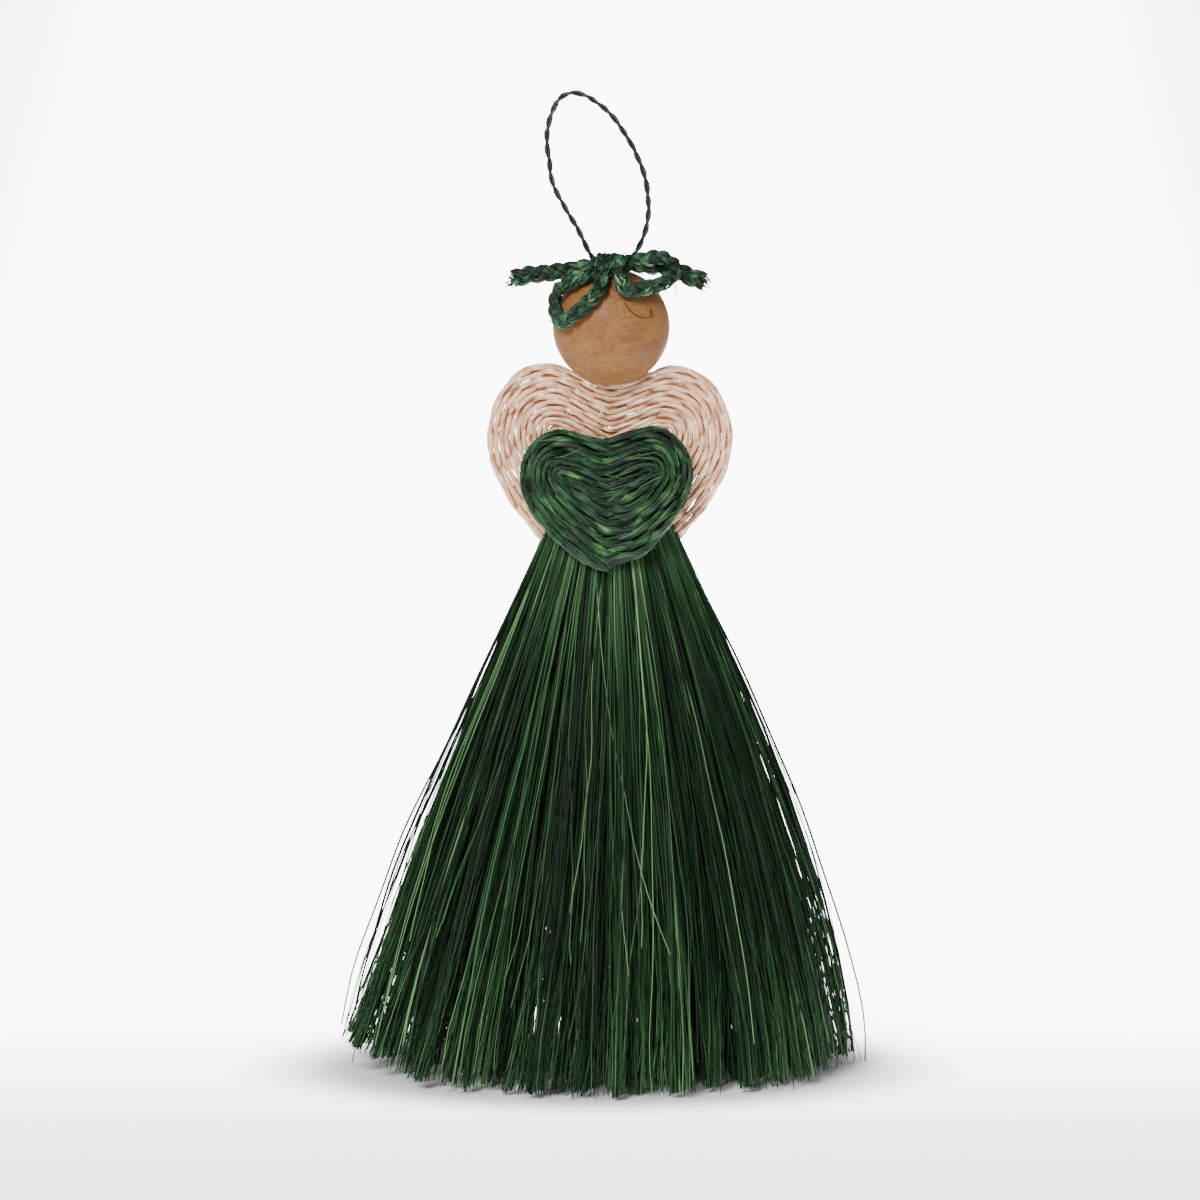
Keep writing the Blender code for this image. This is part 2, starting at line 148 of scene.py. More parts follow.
def new_tree(name: str, inputs: dict[str, str]) -> tuple[bpy.types.NodeTree, bpy.types.Node]:
    """Makes an empty Geometry Nodes tree.

    Args:
        name: The tree's name.
        inputs: Socket type of each named input. A geometry comes before them.

    Returns:
        The tree and its input node.
    """
    tree = bpy.data.node_groups.new(name, "GeometryNodeTree")
    tree.interface.new_socket("Geometry", in_out="INPUT", socket_type="NodeSocketGeometry")
    for label, kind in inputs.items():
        tree.interface.new_socket(label, in_out="INPUT", socket_type=f"NodeSocket{kind}")
    tree.interface.new_socket("Geometry", in_out="OUTPUT", socket_type="NodeSocketGeometry")
    return tree, tree.nodes.new("NodeGroupInput")


def run_tree(source: bpy.types.Object, tree: bpy.types.NodeTree, values: dict[str, Any]) -> bpy.types.Object:
    """Runs a tree on an object and keeps the result as a plain mesh.

    Args:
        source: The object that the tree starts from. It is removed.
        tree: The tree.
        values: A value for each named input.

    Returns:
        A mesh object with the source's name and no modifier.
    """
    modifier = source.modifiers.new("shape", "NODES")
    modifier.node_group = tree
    for socket in tree.interface.items_tree:
        if socket.in_out == "INPUT" and socket.name in values:
            modifier[socket.identifier] = values[socket.name]
    source.update_tag()
    bpy.context.view_layer.update()
    graph = bpy.context.evaluated_depsgraph_get()
    mesh = bpy.data.meshes.new_from_object(
        source.evaluated_get(graph), preserve_all_data_layers=True, depsgraph=graph
    )
    name, start = source.name, source.data
    bpy.data.objects.remove(source)
    bpy.data.meshes.remove(start)
    return linked(name, mesh)


def named_values(holder: Any, inputs: dict[str, str]) -> dict[str, Any]:
    """Values for a tree's named inputs, from the fields that bear their names.

    Args:
        holder: An object with fields, of which `fibre_share` is for the input Fibre Share.
        inputs: The tree's named inputs.

    Returns:
        A value for each input that the holder has a field for.
    """
    fields = {label: label.lower().replace(" ", "_") for label in inputs}
    return {label: getattr(holder, name) for label, name in fields.items() if hasattr(holder, name)}


def linked(name: str, mesh: bpy.types.Mesh) -> bpy.types.Object:
    """An object for a mesh, in the scene."""
    mesh.name = name
    obj = bpy.data.objects.new(name, mesh)
    bpy.context.scene.collection.objects.link(obj)
    return obj


def put_on(obj: bpy.types.Object, node: str) -> None:
    """Puts a finished piece on the body, in place of its CAD node, and reports it.

    Args:
        obj: The piece, a mesh object.
        node: The CAD node that it replaces.
    """
    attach(obj, BODY)
    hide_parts(node)
    obj.data.calc_loop_triangles()
    log.info("%s: %d triangles, in place of %s", obj.name, len(obj.data.loop_triangles), node)


def unit(vectors: np.ndarray) -> np.ndarray:
    """Vectors of length one with the same directions."""
    return vectors / np.maximum(np.linalg.norm(vectors, axis=-1, keepdims=True), TINY)


def arc_lengths(points: np.ndarray) -> np.ndarray:
    """Distance along a polyline at each of its points."""
    steps = np.linalg.norm(np.diff(points, axis=0), axis=1)
    return np.concatenate([[0.0], np.cumsum(steps)])


def evenly(points: np.ndarray, step: float, *others: np.ndarray) -> list[np.ndarray]:
    """Takes a polyline and values along it at equal distances.

    Args:
        points: The polyline, one row a point.
        step: About the distance wanted.
        others: Values at the points, taken along.

    Returns:
        The new points, and then each of the other arrays at them.
    """
    along = arc_lengths(points)
    wanted = np.linspace(0.0, along[-1], max(2, round(along[-1] / step)) + 1)
    taken = []
    for values in (points, *others):
        columns = values.reshape(len(values), -1)
        made = np.stack([np.interp(wanted, along, column) for column in columns.T], axis=1)
        taken.append(made.reshape(len(wanted), *values.shape[1:]))
    return taken


def softened(points: np.ndarray, passes: int) -> np.ndarray:
    """Rounds the corners of an evenly spaced polyline, with its ends kept."""
    soft = points.copy()
    for _ in range(passes):
        soft[1:-1] = (soft[:-2] + 2 * soft[1:-1] + soft[2:]) / 4
    return soft


def smooth_route(knots: np.ndarray, step: float) -> np.ndarray:
    """Points about a step apart on a smooth curve through the given ones.

    Args:
        knots: The points that the curve goes through.
        step: About the distance between two points of the result.

    Returns:
        The new points, with both ends kept.
    """
    ends = np.vstack([2 * knots[0] - knots[1], knots, 2 * knots[-1] - knots[-2]])
    share = np.linspace(0, 1, SPAN_POINTS + 1)[:-1, None]
    fine = []
    for before, start, end, after in zip(ends, ends[1:], ends[2:], ends[3:]):
        lead, trail = start + (end - before) / 6, end - (after - start) / 6
        fine.append(bezier(start, lead, trail, end, share))
    fine.append(knots[-1:])
    return evenly(np.vstack(fine), step)[0]


def bezier(
    start: np.ndarray, lead: np.ndarray, trail: np.ndarray, end: np.ndarray, share: np.ndarray
) -> np.ndarray:
    """Points of a cubic Bezier span.

    Args:
        start: Its first point.
        lead: The handle after it.
        trail: The handle before the last point.
        end: Its last point.
        share: Shares of the way, as a column.

    Returns:
        The points, one row a share.
    """
    rest = 1 - share
    return rest**3 * start + 3 * rest**2 * share * lead + 3 * rest * share**2 * trail + share**3 * end


def carried_frames(route: np.ndarray, radius: float) -> tuple[np.ndarray, np.ndarray]:
    """Two directions square to a line, carried along it without turning.

    Args:
        route: The line.
        radius: Length of the directions.

    Returns:
        The two directions at each point.
    """
    ahead = unit(np.gradient(route, axis=0))
    side = np.zeros_like(route)
    last = np.cross(ahead[0], (0.0, 1.0, 0.0))
    for i, along in enumerate(ahead):
        last = unit(last - along * np.dot(last, along))
        side[i] = last
    return side * radius, np.cross(ahead, side) * radius


@dataclass
class Line:
    """The middle line of a strand, with its own directions and sizes at each point.

    Args:
        points: The line, one row a point.
        across: Half the strand's width, as a vector, at each point.
        deep: Half the strand's depth, as a vector, at each point.
        girth: Share of the full thickness at each point.
        tone: Shade of the strand, from 0 dark to 1 light.
    """

    points: np.ndarray
    across: np.ndarray
    deep: np.ndarray
    girth: np.ndarray
    tone: float = 0.5


def store(mesh: bpy.types.Mesh, name: str, values: np.ndarray) -> None:
    """Keeps a number or a vector at each point of a mesh under a name."""
    kind, field_name = ("FLOAT_VECTOR", "vector") if values.ndim == 2 else ("FLOAT", "value")
    attribute = mesh.attributes.new(name, kind, "POINT")
    attribute.data.foreach_set(field_name, values.astype(np.float32).ravel())


def lines_object(name: str, lines: list[Line]) -> bpy.types.Object:
    """A mesh of bare edges for a tree to work on.

    Args:
        name: The object's name.
        lines: The lines, each of which stays apart.

    Returns:
        The object, with the lines' directions, sizes and shades as attributes.
    """
    edges, first = [], 0
    for line in lines:
        ids = np.arange(first, first + len(line.points))
        edges.append(np.stack([ids[:-1], ids[1:]], axis=1))
        first += len(ids)
    mesh = bpy.data.meshes.new(name)
    points = np.vstack([line.points for line in lines])
    mesh.from_pydata(points.tolist(), np.vstack(edges).tolist(), [])
    store(mesh, ACROSS, np.vstack([line.across for line in lines]))
    store(mesh, DEEP, np.vstack([line.deep for line in lines]))
    store(mesh, GIRTH, np.concatenate([line.girth for line in lines]))
    store(mesh, ALONG, np.concatenate([arc_lengths(line.points) for line in lines]))
    store(mesh, TONE, np.concatenate([np.full(len(line.points), line.tone) for line in lines]))
    return linked(name, mesh)


class Twist(Enum):
    """Which way the plies of a yarn turn, as spinners name it."""

    S = -1
    Z = 1


@dataclass(frozen=True)
class PlantFibre:
    """Dyed or bleached abaca: long flat plant fibres with a silky, uneven gloss along them."""

    name: str
    # Colours from the darkest fibres to the few lightest
    gaps: str
    shade: str
    body: str
    light: str
    glint: str
    roughness: float = 0.42
    # Streaks: how many lie side by side on a strand, how long they are, and the fine ones in them
    streaks: float = 5.0
    streak_length: float = 6 * MM
    streak_detail: float = 3.0
    streak_contrast: float = 0.6
    # Length over which a whole strand changes shade
    patch_length: float = 3 * MM
    # Depth of the grooves between fibres, and how much of it the light sees
    relief: float = 0.08 * MM
    groove_strength: float = 0.7
    # Gloss, below 0.5 for matt dyed fibre
    specular: float = 0.35
    # Weights of a strand's own tone, of the patches and of the streaks in its shade
    tone_weight: float = 0.5
    patch_weight: float = 0.3
    streak_weight: float = 0.55
    # Painted light and shade along each fibre: how much lighter it is painted towards both ends, and the
    # share of its length where the painted shade is deepest
    painted_light_at_ends: float = 0.0
    painted_shade_at: float = 0.58
    # Shades at which the five colours lie
    stop_places: tuple[float, float, float, float, float] = (0.22, 0.40, 0.55, 0.70, 0.86)

    def material(self) -> bpy.types.Material:
        """Makes the material, with its streaks along each strand.

        Returns:
            The material.
        """
        material = bpy.data.materials.new(self.name)
        material.use_nodes = True
        tree = material.node_tree
        add = functools.partial(add_node, tree)
        shader = tree.nodes["Principled BSDF"]
        around, along, tone, ply = [
            add("ShaderNodeAttribute", attribute_name=name) for name in (AROUND, ALONG, TONE, PLY)
        ]
        along_it = along.outputs["Fac"]

        # Each ply has streaks of its own, so its number shifts the pattern far along
        ply_shift = add(MATH, {0: ply.outputs["Fac"], 1: STREAK_STEP}, operation="MULTIPLY")
        per_metre = {0: along_it, 1: 1 / self.streak_length, 2: ply_shift}
        run = add(MATH, per_metre, operation="MULTIPLY_ADD")
        run_place = add("ShaderNodeCombineXYZ", {"Z": run})
        turned = {0: around.outputs["Vector"], "Scale": self.streaks / 2}
        spread = add(VECTOR_MATH, turned, operation="SCALE")
        streak_place = add(VECTOR_MATH, {0: spread, 1: run_place}, operation="ADD")
        streak = add(
            NOISE,
            {
                "Vector": streak_place,
                "Scale": 1.0,
                "Detail": self.streak_detail,
                "Roughness": self.streak_contrast,
            },
        )

        # Broad patches let whole lengths of a ply run darker or lighter
        per_metre = {0: along_it, 1: 1 / self.patch_length, 2: ply_shift}
        patch_run = add(MATH, per_metre, operation="MULTIPLY_ADD")
        patch_place = add("ShaderNodeCombineXYZ", {"X": ply_shift, "Z": patch_run})
        patch = add(NOISE, {"Vector": patch_place, "Scale": 1.0, "Detail": 1.0})

        whole = self.tone_weight + self.patch_weight + self.streak_weight
        shade: bpy.types.Node | float = 0.0
        for source, weight in (
            (tone.outputs["Fac"], self.tone_weight),
            (patch, self.patch_weight),
            (streak, self.streak_weight),
        ):
            weighed = {0: source, 1: weight / whole, 2: shade}
            shade = add(MATH, weighed, operation="MULTIPLY_ADD")
        # Painted light and shade: each fibre is painted darker at the middle of its length and lighter
        # towards both ends
        if self.painted_light_at_ends:
            from_painted_shade = add(MATH, {0: along_it, 1: self.painted_shade_at}, operation="SUBTRACT")
            squared = add(MATH, {0: from_painted_shade, 1: from_painted_shade}, operation="MULTIPLY")
            weighed = {0: squared, 1: self.painted_light_at_ends, 2: shade}
            shade = add(MATH, weighed, operation="MULTIPLY_ADD")
        colours = (self.gaps, self.shade, self.body, self.light, self.glint)
        ramp = add("ShaderNodeValToRGB", {0: shade}, stops=list(zip(self.stop_places, colours)))
        bump = add(
            "ShaderNodeBump",
            {"Strength": self.groove_strength, "Distance": self.relief, "Height": streak},
        )
        tree.links.new(ramp.outputs[0], shader.inputs["Base Color"])
        tree.links.new(bump.outputs[0], shader.inputs["Normal"])
        shader.inputs["Roughness"].default_value = self.roughness
        shader.inputs["Specular IOR Level"].default_value = self.specular
        return material


@dataclass(frozen=True)
class VarnishedWood:
    """Turned maple or lotus wood under thin satin varnish: a faint grain, small pores, a soft highlight."""

    name: str
    centre: Vector
    mark_place: Vector
    # Colours between the growth rings, of the body, of the rings and of the resin mark
    late: str = "#623E20"
    body: str = "#80562F"
    early: str = "#966B3F"
    mark: str = "#4E2A0E"
    # Sizes of the rings, the pores and the broad blotches, and their weights in the grain
    ring_spacing: float = 0.8 * MM
    pore_size: float = 0.20 * MM
    blotch_size: float = 6 * MM
    weights: tuple[float, float, float] = (0.34, 0.36, 0.30)
    # Octaves of the rings and of the finer grain, how strong the small ones are, how wavy the rings
    ring_detail: float = 4.0
    fine_detail: float = 2.0
    fine_strength: float = 0.6
    ring_waves: float = 0.6
    # How the grain leans, and how it is drawn out across the bead
    grain_turn: tuple[float, float, float] = (0.1, 0.2, 0.0)
    grain_stretch: tuple[float, float, float] = (0.4, 0.4, 1.0)
    stop_places: tuple[float, float, float] = (0.34, 0.50, 0.68)
    # The mark: its width, its form to the right, back and up, and the shares between which it fades
    mark_width: float = 0.9 * MM
    mark_form: tuple[float, float, float] = (1.4, 1.0, 0.6)
    mark_edge: tuple[float, float] = (0.3, 0.8)
    mark_strength: float = 0.75
    # Depth of the pores, and how much of it the light sees
    pore_depth: float = 0.05 * MM
    pore_strength: float = 0.25
    # Gloss of the wood, and of the thin varnish on it
    roughness: float = 0.55
    specular: float = 0.20
    coat: float = 0.04
    coat_roughness: float = 0.32

    def material(self) -> bpy.types.Material:
        """Makes the material, with the grain running across the bead.

        Returns:
            The material.
        """
        material = bpy.data.materials.new(self.name)
        material.use_nodes = True
        tree = material.node_tree
        add = functools.partial(add_node, tree)
        shader = tree.nodes["Principled BSDF"]
        place = add("ShaderNodeTexCoord").outputs["Object"]
        centred = add("ShaderNodeMapping", {"Vector": place, "Location": tuple(-self.centre)})
        tipped = add(
            "ShaderNodeMapping",
            {"Vector": centred, "Rotation": self.grain_turn, "Scale": self.grain_stretch},
        )
        lying = {"Vector": tipped, "Roughness": self.fine_strength}
        wavy = {"Detail": self.ring_detail, "Distortion": self.ring_waves}
        rings = add(NOISE, {**lying, **wavy, "Scale": 1 / self.ring_spacing})
        pores = add(NOISE, {**lying, "Scale": 1 / self.pore_size, "Detail": self.fine_detail})
        broad = {"Scale": 1 / self.blotch_size, "Detail": self.fine_detail}
        blotch = add(NOISE, {"Vector": centred, **broad})
        grain: bpy.types.Node | float = 0.0
        for source, weight in zip((rings, pores, blotch), self.weights):
            grain = add(MATH, {0: source, 1: weight, 2: grain}, operation="MULTIPLY_ADD")
        colours = (self.late, self.body, self.early)
        colour = add("ShaderNodeValToRGB", {0: grain}, stops=list(zip(self.stop_places, colours)))
        off_mark = add(VECTOR_MATH, {0: place, 1: tuple(self.mark_place)}, operation="SUBTRACT")
        drawn_out = add(VECTOR_MATH, {0: off_mark, 1: self.mark_form}, operation="MULTIPLY")
        distance = add(VECTOR_MATH, {0: drawn_out}, operation="LENGTH").outputs["Value"]
        inner, outer = [self.mark_width * share for share in self.mark_edge]
        fading = {"From Min": inner, "From Max": outer, "To Min": self.mark_strength, "To Max": 0.0}
        in_mark = add(MAP_RANGE, {"Value": distance, **fading})
        marked = add("ShaderNodeMix", {0: in_mark, 6: colour, 7: linear(self.mark)}, data_type="RGBA")
        bump = add(
            "ShaderNodeBump",
            {"Strength": self.pore_strength, "Distance": self.pore_depth, "Height": pores},
        )
        tree.links.new(marked.outputs[2], shader.inputs["Base Color"])
        tree.links.new(bump.outputs[0], shader.inputs["Normal"])
        shader.inputs["Roughness"].default_value = self.roughness
        shader.inputs["Specular IOR Level"].default_value = self.specular
        shader.inputs["Coat Weight"].default_value = self.coat
        shader.inputs["Coat Roughness"].default_value = self.coat_roughness
        return material


class PliedStrand:
    """The tree that lays plies round a line, for yarn, cord and plait alike."""

    INPUTS = {
        "Plies": "Int",
        "Fibres": "Int",
        "Fibre Share": "Float",
        "Fibre Twist": "Float",
        "Pitch": "Float",
        "Ply Share": "Float",
        "Swing": "Float",
        "Squareness": "Float",
        "Sides": "Int",
        "Groove": "Float",
        "Waver": "Float",
        "Waver Length": "Float",
        "Tone Spread": "Float",
        "Seed": "Int",
        "Material": "Material",
    }

    # How far the unevenness turns a ply, in turns, and how quickly a single fibre strays
    TURN_WAVER = 0.25
    STRAY_SCALE = 1.3

    def build(self) -> bpy.types.NodeTree:
        """Builds the tree.

        Returns:
            The tree, which takes a mesh of bare edges with its named attributes.
        """
        tree, given = new_tree("plied_strand", self.INPUTS)
        add = functools.partial(add_node, tree)
        take = given.outputs
        curve = add("GeometryNodeMeshToCurve", {0: take["Geometry"]})
        copy_count = add(MATH, {0: take["Plies"], 1: take["Fibres"]}, operation="MULTIPLY")
        copies = add("GeometryNodeDuplicateElements", {0: curve, "Amount": copy_count}, domain="SPLINE")
        number = copies.outputs["Duplicate Index"]
        numbered = add(STORE, {0: copies, "Name": PLY, "Value": number}, data_type="FLOAT", domain="POINT")
        across = add(READ, {0: ACROSS}, data_type="FLOAT_VECTOR")
        deep = add(READ, {0: DEEP}, data_type="FLOAT_VECTOR")
        girth = add(READ, {0: GIRTH}, data_type="FLOAT")
        along = add(READ, {0: ALONG}, data_type="FLOAT")
        tone = add(READ, {0: TONE}, data_type="FLOAT")
        copy = add(READ, {0: PLY}, data_type="FLOAT")
        fibre_count = add(MATH, {0: take["Fibres"], 1: 0.0}, operation="ADD")
        ply = add(MATH, {0: copy, 1: fibre_count}, operation="DIVIDE")
        ply = add(MATH, {0: ply}, operation="FLOOR")
        fibre = add(MATH, {0: copy, 1: fibre_count}, operation="MODULO")

        # Noises that run along each ply, for its place, its thickness and its turn
        seed = add(MATH, {0: take["Seed"], 1: SEED_STEP}, operation="MULTIPLY")
        run = add(MATH, {0: along, 1: take["Waver Length"]}, operation="DIVIDE")
        own = add(MATH, {0: ply, 1: PLY_STEP, 2: seed}, operation="MULTIPLY_ADD")
        noise_place = add("ShaderNodeCombineXYZ", {0: run, 1: own, 2: tone})
        noise = add(NOISE, {"Vector": noise_place, "Scale": 1.0, "Detail": 1.0})
        spread = add("ShaderNodeSeparateXYZ", {0: noise.outputs["Color"]})
        jitter = [
            add(MATH, {0: spread.outputs[i], 1: NOISE_MEAN}, operation="SUBTRACT") for i in range(3)
        ]

        turns = add(MATH, {0: along, 1: take["Pitch"]}, operation="DIVIDE")
        start = add(MATH, {0: ply, 1: take["Plies"]}, operation="DIVIDE")
        turns = add(MATH, {0: turns, 1: start}, operation="ADD")
        turns = add(MATH, {0: jitter[0], 1: self.TURN_WAVER, 2: turns}, operation="MULTIPLY_ADD")
        angle = add(MATH, {0: turns, 1: 2 * math.pi}, operation="MULTIPLY")
        cosine = add(MATH, {0: angle}, operation="COSINE")
        sine = add(MATH, {0: angle}, operation="SINE")

        # A ply stays near the face for most of its half turn, then crosses quickly
        pressed = add(MATH, {0: sine, 1: take["Squareness"]}, operation="MULTIPLY")
        pressed = add(MATH, {0: pressed}, operation="TANH")
        most = add(MATH, {0: take["Squareness"]}, operation="TANH")
        pressed = add(MATH, {0: pressed, 1: most}, operation="DIVIDE")

        half_width = add(VECTOR_MATH, {0: across}, operation="LENGTH").outputs["Value"]
        half_depth = add(VECTOR_MATH, {0: deep}, operation="LENGTH").outputs["Value"]
        radius = add(MATH, {0: half_width, 1: take["Ply Share"]}, operation="MULTIPLY")
        uneven = add(MATH, {0: jitter[1], 1: take["Waver"], 2: 1.0}, operation="MULTIPLY_ADD")
        radius = add(MATH, {0: radius, 1: uneven}, operation="MULTIPLY")
        radius = add(MATH, {0: radius, 1: girth}, operation="MULTIPLY")

        room = add(MATH, {0: half_depth, 1: radius}, operation="SUBTRACT")
        room = add(MATH, {0: room, 1: half_depth}, operation="DIVIDE")
        deep_share = add(MATH, {0: pressed, 1: room}, operation="MULTIPLY")
        wide_share = add(MATH, {0: cosine, 1: take["Swing"]}, operation="MULTIPLY")
        wide_share = add(MATH, {0: jitter[2], 1: take["Waver"], 2: wide_share}, operation="MULTIPLY_ADD")
        sideways = add(VECTOR_MATH, {0: across, 3: wide_share}, operation="SCALE")
        inwards = add(VECTOR_MATH, {0: deep, 3: deep_share}, operation="SCALE")
        ply_offset = add(VECTOR_MATH, {0: sideways, 1: inwards}, operation="ADD")

        # The fibres of a ply lie round its middle and twist with it
        start = add(MATH, {0: fibre, 1: fibre_count}, operation="DIVIDE")
        twist = add(MATH, {0: turns, 1: take["Fibre Twist"], 2: start}, operation="MULTIPLY_ADD")
        twist = add(MATH, {0: twist, 1: 2 * math.pi}, operation="MULTIPLY")
        fibre_radius = add(MATH, {0: radius, 1: take["Fibre Share"]}, operation="MULTIPLY")
        reach = add(MATH, {0: radius, 1: fibre_radius}, operation="SUBTRACT")
        fibre_offset = ply_offset
        for direction, turn in ((across, "COSINE"), (deep, "SINE")):
            swing = add(MATH, {0: twist}, operation=turn)
            swing = add(MATH, {0: swing, 1: reach}, operation="MULTIPLY")
            axis = add(VECTOR_MATH, {0: direction}, operation="NORMALIZE")
            step = add(VECTOR_MATH, {0: axis, 3: swing}, operation="SCALE")
            fibre_offset = add(VECTOR_MATH, {0: fibre_offset, 1: step}, operation="ADD")

        # Each fibre also strays a little by itself
        own_place = add("ShaderNodeCombineXYZ", {0: run, 1: copy, 2: seed})
        own_noise = add(NOISE, {"Vector": own_place, "Scale": self.STRAY_SCALE, "Detail": 1.0})
        centred = {0: own_noise.outputs["Color"], 1: (NOISE_MEAN,) * 3}
        stray = add(VECTOR_MATH, centred, operation="SUBTRACT")
        stray = add(VECTOR_MATH, {0: stray, 3: reach}, operation="SCALE")
        offset = add(VECTOR_MATH, {0: fibre_offset, 1: stray}, operation="ADD")
        laid = add("GeometryNodeSetPosition", {0: numbered, "Offset": offset})

        own_tone = add("ShaderNodeSeparateXYZ", {0: own_noise.outputs["Color"]})
        own_tone = add(MATH, {0: own_tone.outputs[1], 1: NOISE_MEAN}, operation="SUBTRACT")
        both = add(MATH, {0: own_tone, 1: jitter[0]}, operation="ADD")
        chance = add(MATH, {0: both, 1: take["Tone Spread"], 2: tone}, operation="MULTIPLY_ADD")
        toned = add(STORE, {0: laid, "Name": TONE, "Value": chance}, data_type="FLOAT", domain="POINT")

        profile = add("GeometryNodeCurvePrimitiveCircle", {"Resolution": take["Sides"], "Radius": 1.0})
        here = add("GeometryNodeInputPosition")
        marked = add(
            STORE, {0: profile, "Name": AROUND, "Value": here}, data_type="FLOAT_VECTOR", domain="POINT"
        )
        index = add("GeometryNodeInputIndex")
        odd = add(MATH, {0: index, 1: 2.0}, operation="MODULO")
        groove = add(MATH, {0: odd, 1: take["Groove"]}, operation="MULTIPLY")
        ridge = add(MATH, {0: 1.0, 1: groove}, operation="SUBTRACT")
        fluted_place = add(VECTOR_MATH, {0: here, 3: ridge}, operation="SCALE")
        fluted = add("GeometryNodeSetPosition", {0: marked, "Position": fluted_place})

        body = add(
            "GeometryNodeCurveToMesh",
            {"Curve": toned, "Profile Curve": fluted, "Scale": fibre_radius, "Fill Caps": True},
        )
        close_tree(tree, body, take["Material"])
        return tree


@dataclass
class Trees:
    """The two trees that every fibrous piece shares.

    Args:
        strand: Lays plies round lines.
        fibres: Draws bent fibres from points.
    """

    strand: bpy.types.NodeTree
    fibres: bpy.types.NodeTree


def close_tree(tree: bpy.types.NodeTree, body: bpy.types.Node, material: bpy.types.NodeSocket) -> None:
    """Ends a tree: smooth shading, instances made real, the material set.

    Args:
        tree: The tree.
        body: The node that gives the finished shape.
        material: The tree's input for the material.
    """
    add = functools.partial(add_node, tree)
    smooth = add("GeometryNodeSetShadeSmooth", {0: body})
    real = add("GeometryNodeRealizeInstances", {0: smooth})
    dressed = add("GeometryNodeSetMaterial", {0: real, "Material": material})
    add("NodeGroupOutput", {0: dressed})


class FibreBundle:
    """The tree that draws one bent, tapering fibre for each point of a mesh."""

    INPUTS = {
        "Points Along": "Int",
        "Sides": "Int",
        "Flatness": "Float",
        "Taper": "Float",
        "Wiggle": "Float",
        "Waves": "Float",
        "Seed": "Int",
        "Material": "Material",
    }
    ROOT, LEAD, TRAIL, TIP, TURN = "root", "lead", "trail", "tip", "turn"

    # A fibre keeps its width for most of its way and thins near the tip, and it wanders level
    TAPER_POWER = 3.0
    LEVEL = (1.0, 1.0, 0.0)

    def build(self) -> bpy.types.NodeTree:
        """Builds the tree.

        Returns:
            The tree, which takes a mesh of bare points with each fibre's four Bezier points.
        """
        tree, given = new_tree("fibre_bundle", self.INPUTS)
        add = functools.partial(add_node, tree)
        take = given.outputs
        straight = add("GeometryNodeCurvePrimitiveLine")
        jointed = add("GeometryNodeResampleCurve", {0: straight, "Count": take["Points Along"]})
        placed = add("GeometryNodeInstanceOnPoints", {"Points": take["Geometry"], "Instance": jointed})
        real = add("GeometryNodeRealizeInstances", {0: placed})
        share = add("GeometryNodeSplineParameter").outputs["Factor"]
        rest = add(MATH, {0: 1.0, 1: share}, operation="SUBTRACT")
        corners = [
            add(READ, {0: name}, data_type="FLOAT_VECTOR")
            for name in (self.ROOT, self.LEAD, self.TRAIL, self.TIP)
        ]

        # The cubic Bezier by three rounds of straight mixing
        while len(corners) > 1:
            mixed = []
            for first, second in zip(corners, corners[1:]):
                near = add(VECTOR_MATH, {0: first, 3: rest}, operation="SCALE")
                far = add(VECTOR_MATH, {0: second, 3: share}, operation="SCALE")
                mixed.append(add(VECTOR_MATH, {0: near, 1: far}, operation="ADD"))
            corners = mixed

        phase = add(READ, {0: PLY}, data_type="FLOAT")
        waves = add(MATH, {0: share, 1: take["Waves"]}, operation="MULTIPLY")
        seed = add(MATH, {0: take["Seed"], 1: SEED_STEP}, operation="MULTIPLY")
        place = add("ShaderNodeCombineXYZ", {0: waves, 1: phase, 2: seed})
        noise = add(NOISE, {"Vector": place, "Scale": 1.0, "Detail": 1.0})
        centred = {0: noise.outputs["Color"], 1: (NOISE_MEAN,) * 3}
        around_zero = add(VECTOR_MATH, centred, operation="SUBTRACT")
        swing = add(MATH, {0: share, 1: take["Wiggle"]}, operation="MULTIPLY")
        level = add(VECTOR_MATH, {0: around_zero, 1: self.LEVEL}, operation="MULTIPLY")
        wander = add(VECTOR_MATH, {0: level, 3: swing}, operation="SCALE")
        position = add(VECTOR_MATH, {0: corners[0], 1: wander}, operation="ADD")
        laid = add("GeometryNodeSetPosition", {0: real, "Position": position})
        turn = add(READ, {0: self.TURN}, data_type="FLOAT")
        tilted = add("GeometryNodeSetCurveTilt", {0: laid, "Tilt": turn})
        kept = add(STORE, {0: tilted, "Name": ALONG, "Value": share}, data_type="FLOAT", domain="POINT")

        girth = add(READ, {0: GIRTH}, data_type="FLOAT")
        late = add(MATH, {0: share, 1: self.TAPER_POWER}, operation="POWER")
        thinner = add(MATH, {0: late, 1: take["Taper"]}, operation="MULTIPLY")
        left = add(MATH, {0: 1.0, 1: thinner}, operation="SUBTRACT")
        radius = add(MATH, {0: girth, 1: left}, operation="MULTIPLY")

        profile = add("GeometryNodeCurvePrimitiveCircle", {"Resolution": take["Sides"], "Radius": 1.0})
        here = add("GeometryNodeInputPosition")
        marked = add(
            STORE, {0: profile, "Name": AROUND, "Value": here}, data_type="FLOAT_VECTOR", domain="POINT"
        )
        squash = add("ShaderNodeCombineXYZ", {0: 1.0, 1: take["Flatness"], 2: 1.0})
        flat_place = add(VECTOR_MATH, {0: here, 1: squash}, operation="MULTIPLY")
        flat = add("GeometryNodeSetPosition", {0: marked, "Position": flat_place})
        body = add(
            "GeometryNodeCurveToMesh",
            {"Curve": kept, "Profile Curve": flat, "Scale": radius, "Fill Caps": True},
        )
        close_tree(tree, body, take["Material"])
        return tree


@dataclass(frozen=True)
class FibreCut:
    """How each fibre of a bundle is drawn."""

    points_along: int = 8
    sides: int = 3
    # Thickness as a share of the width, and the share of the width that is lost towards the tip
    flatness: float = 0.55
    taper: float = 0.6
    # How far the tip may wander, and how often a fibre bends on its way
    wiggle: float = 0.6 * MM
    waves: float = 2.0
    seed: int = 1


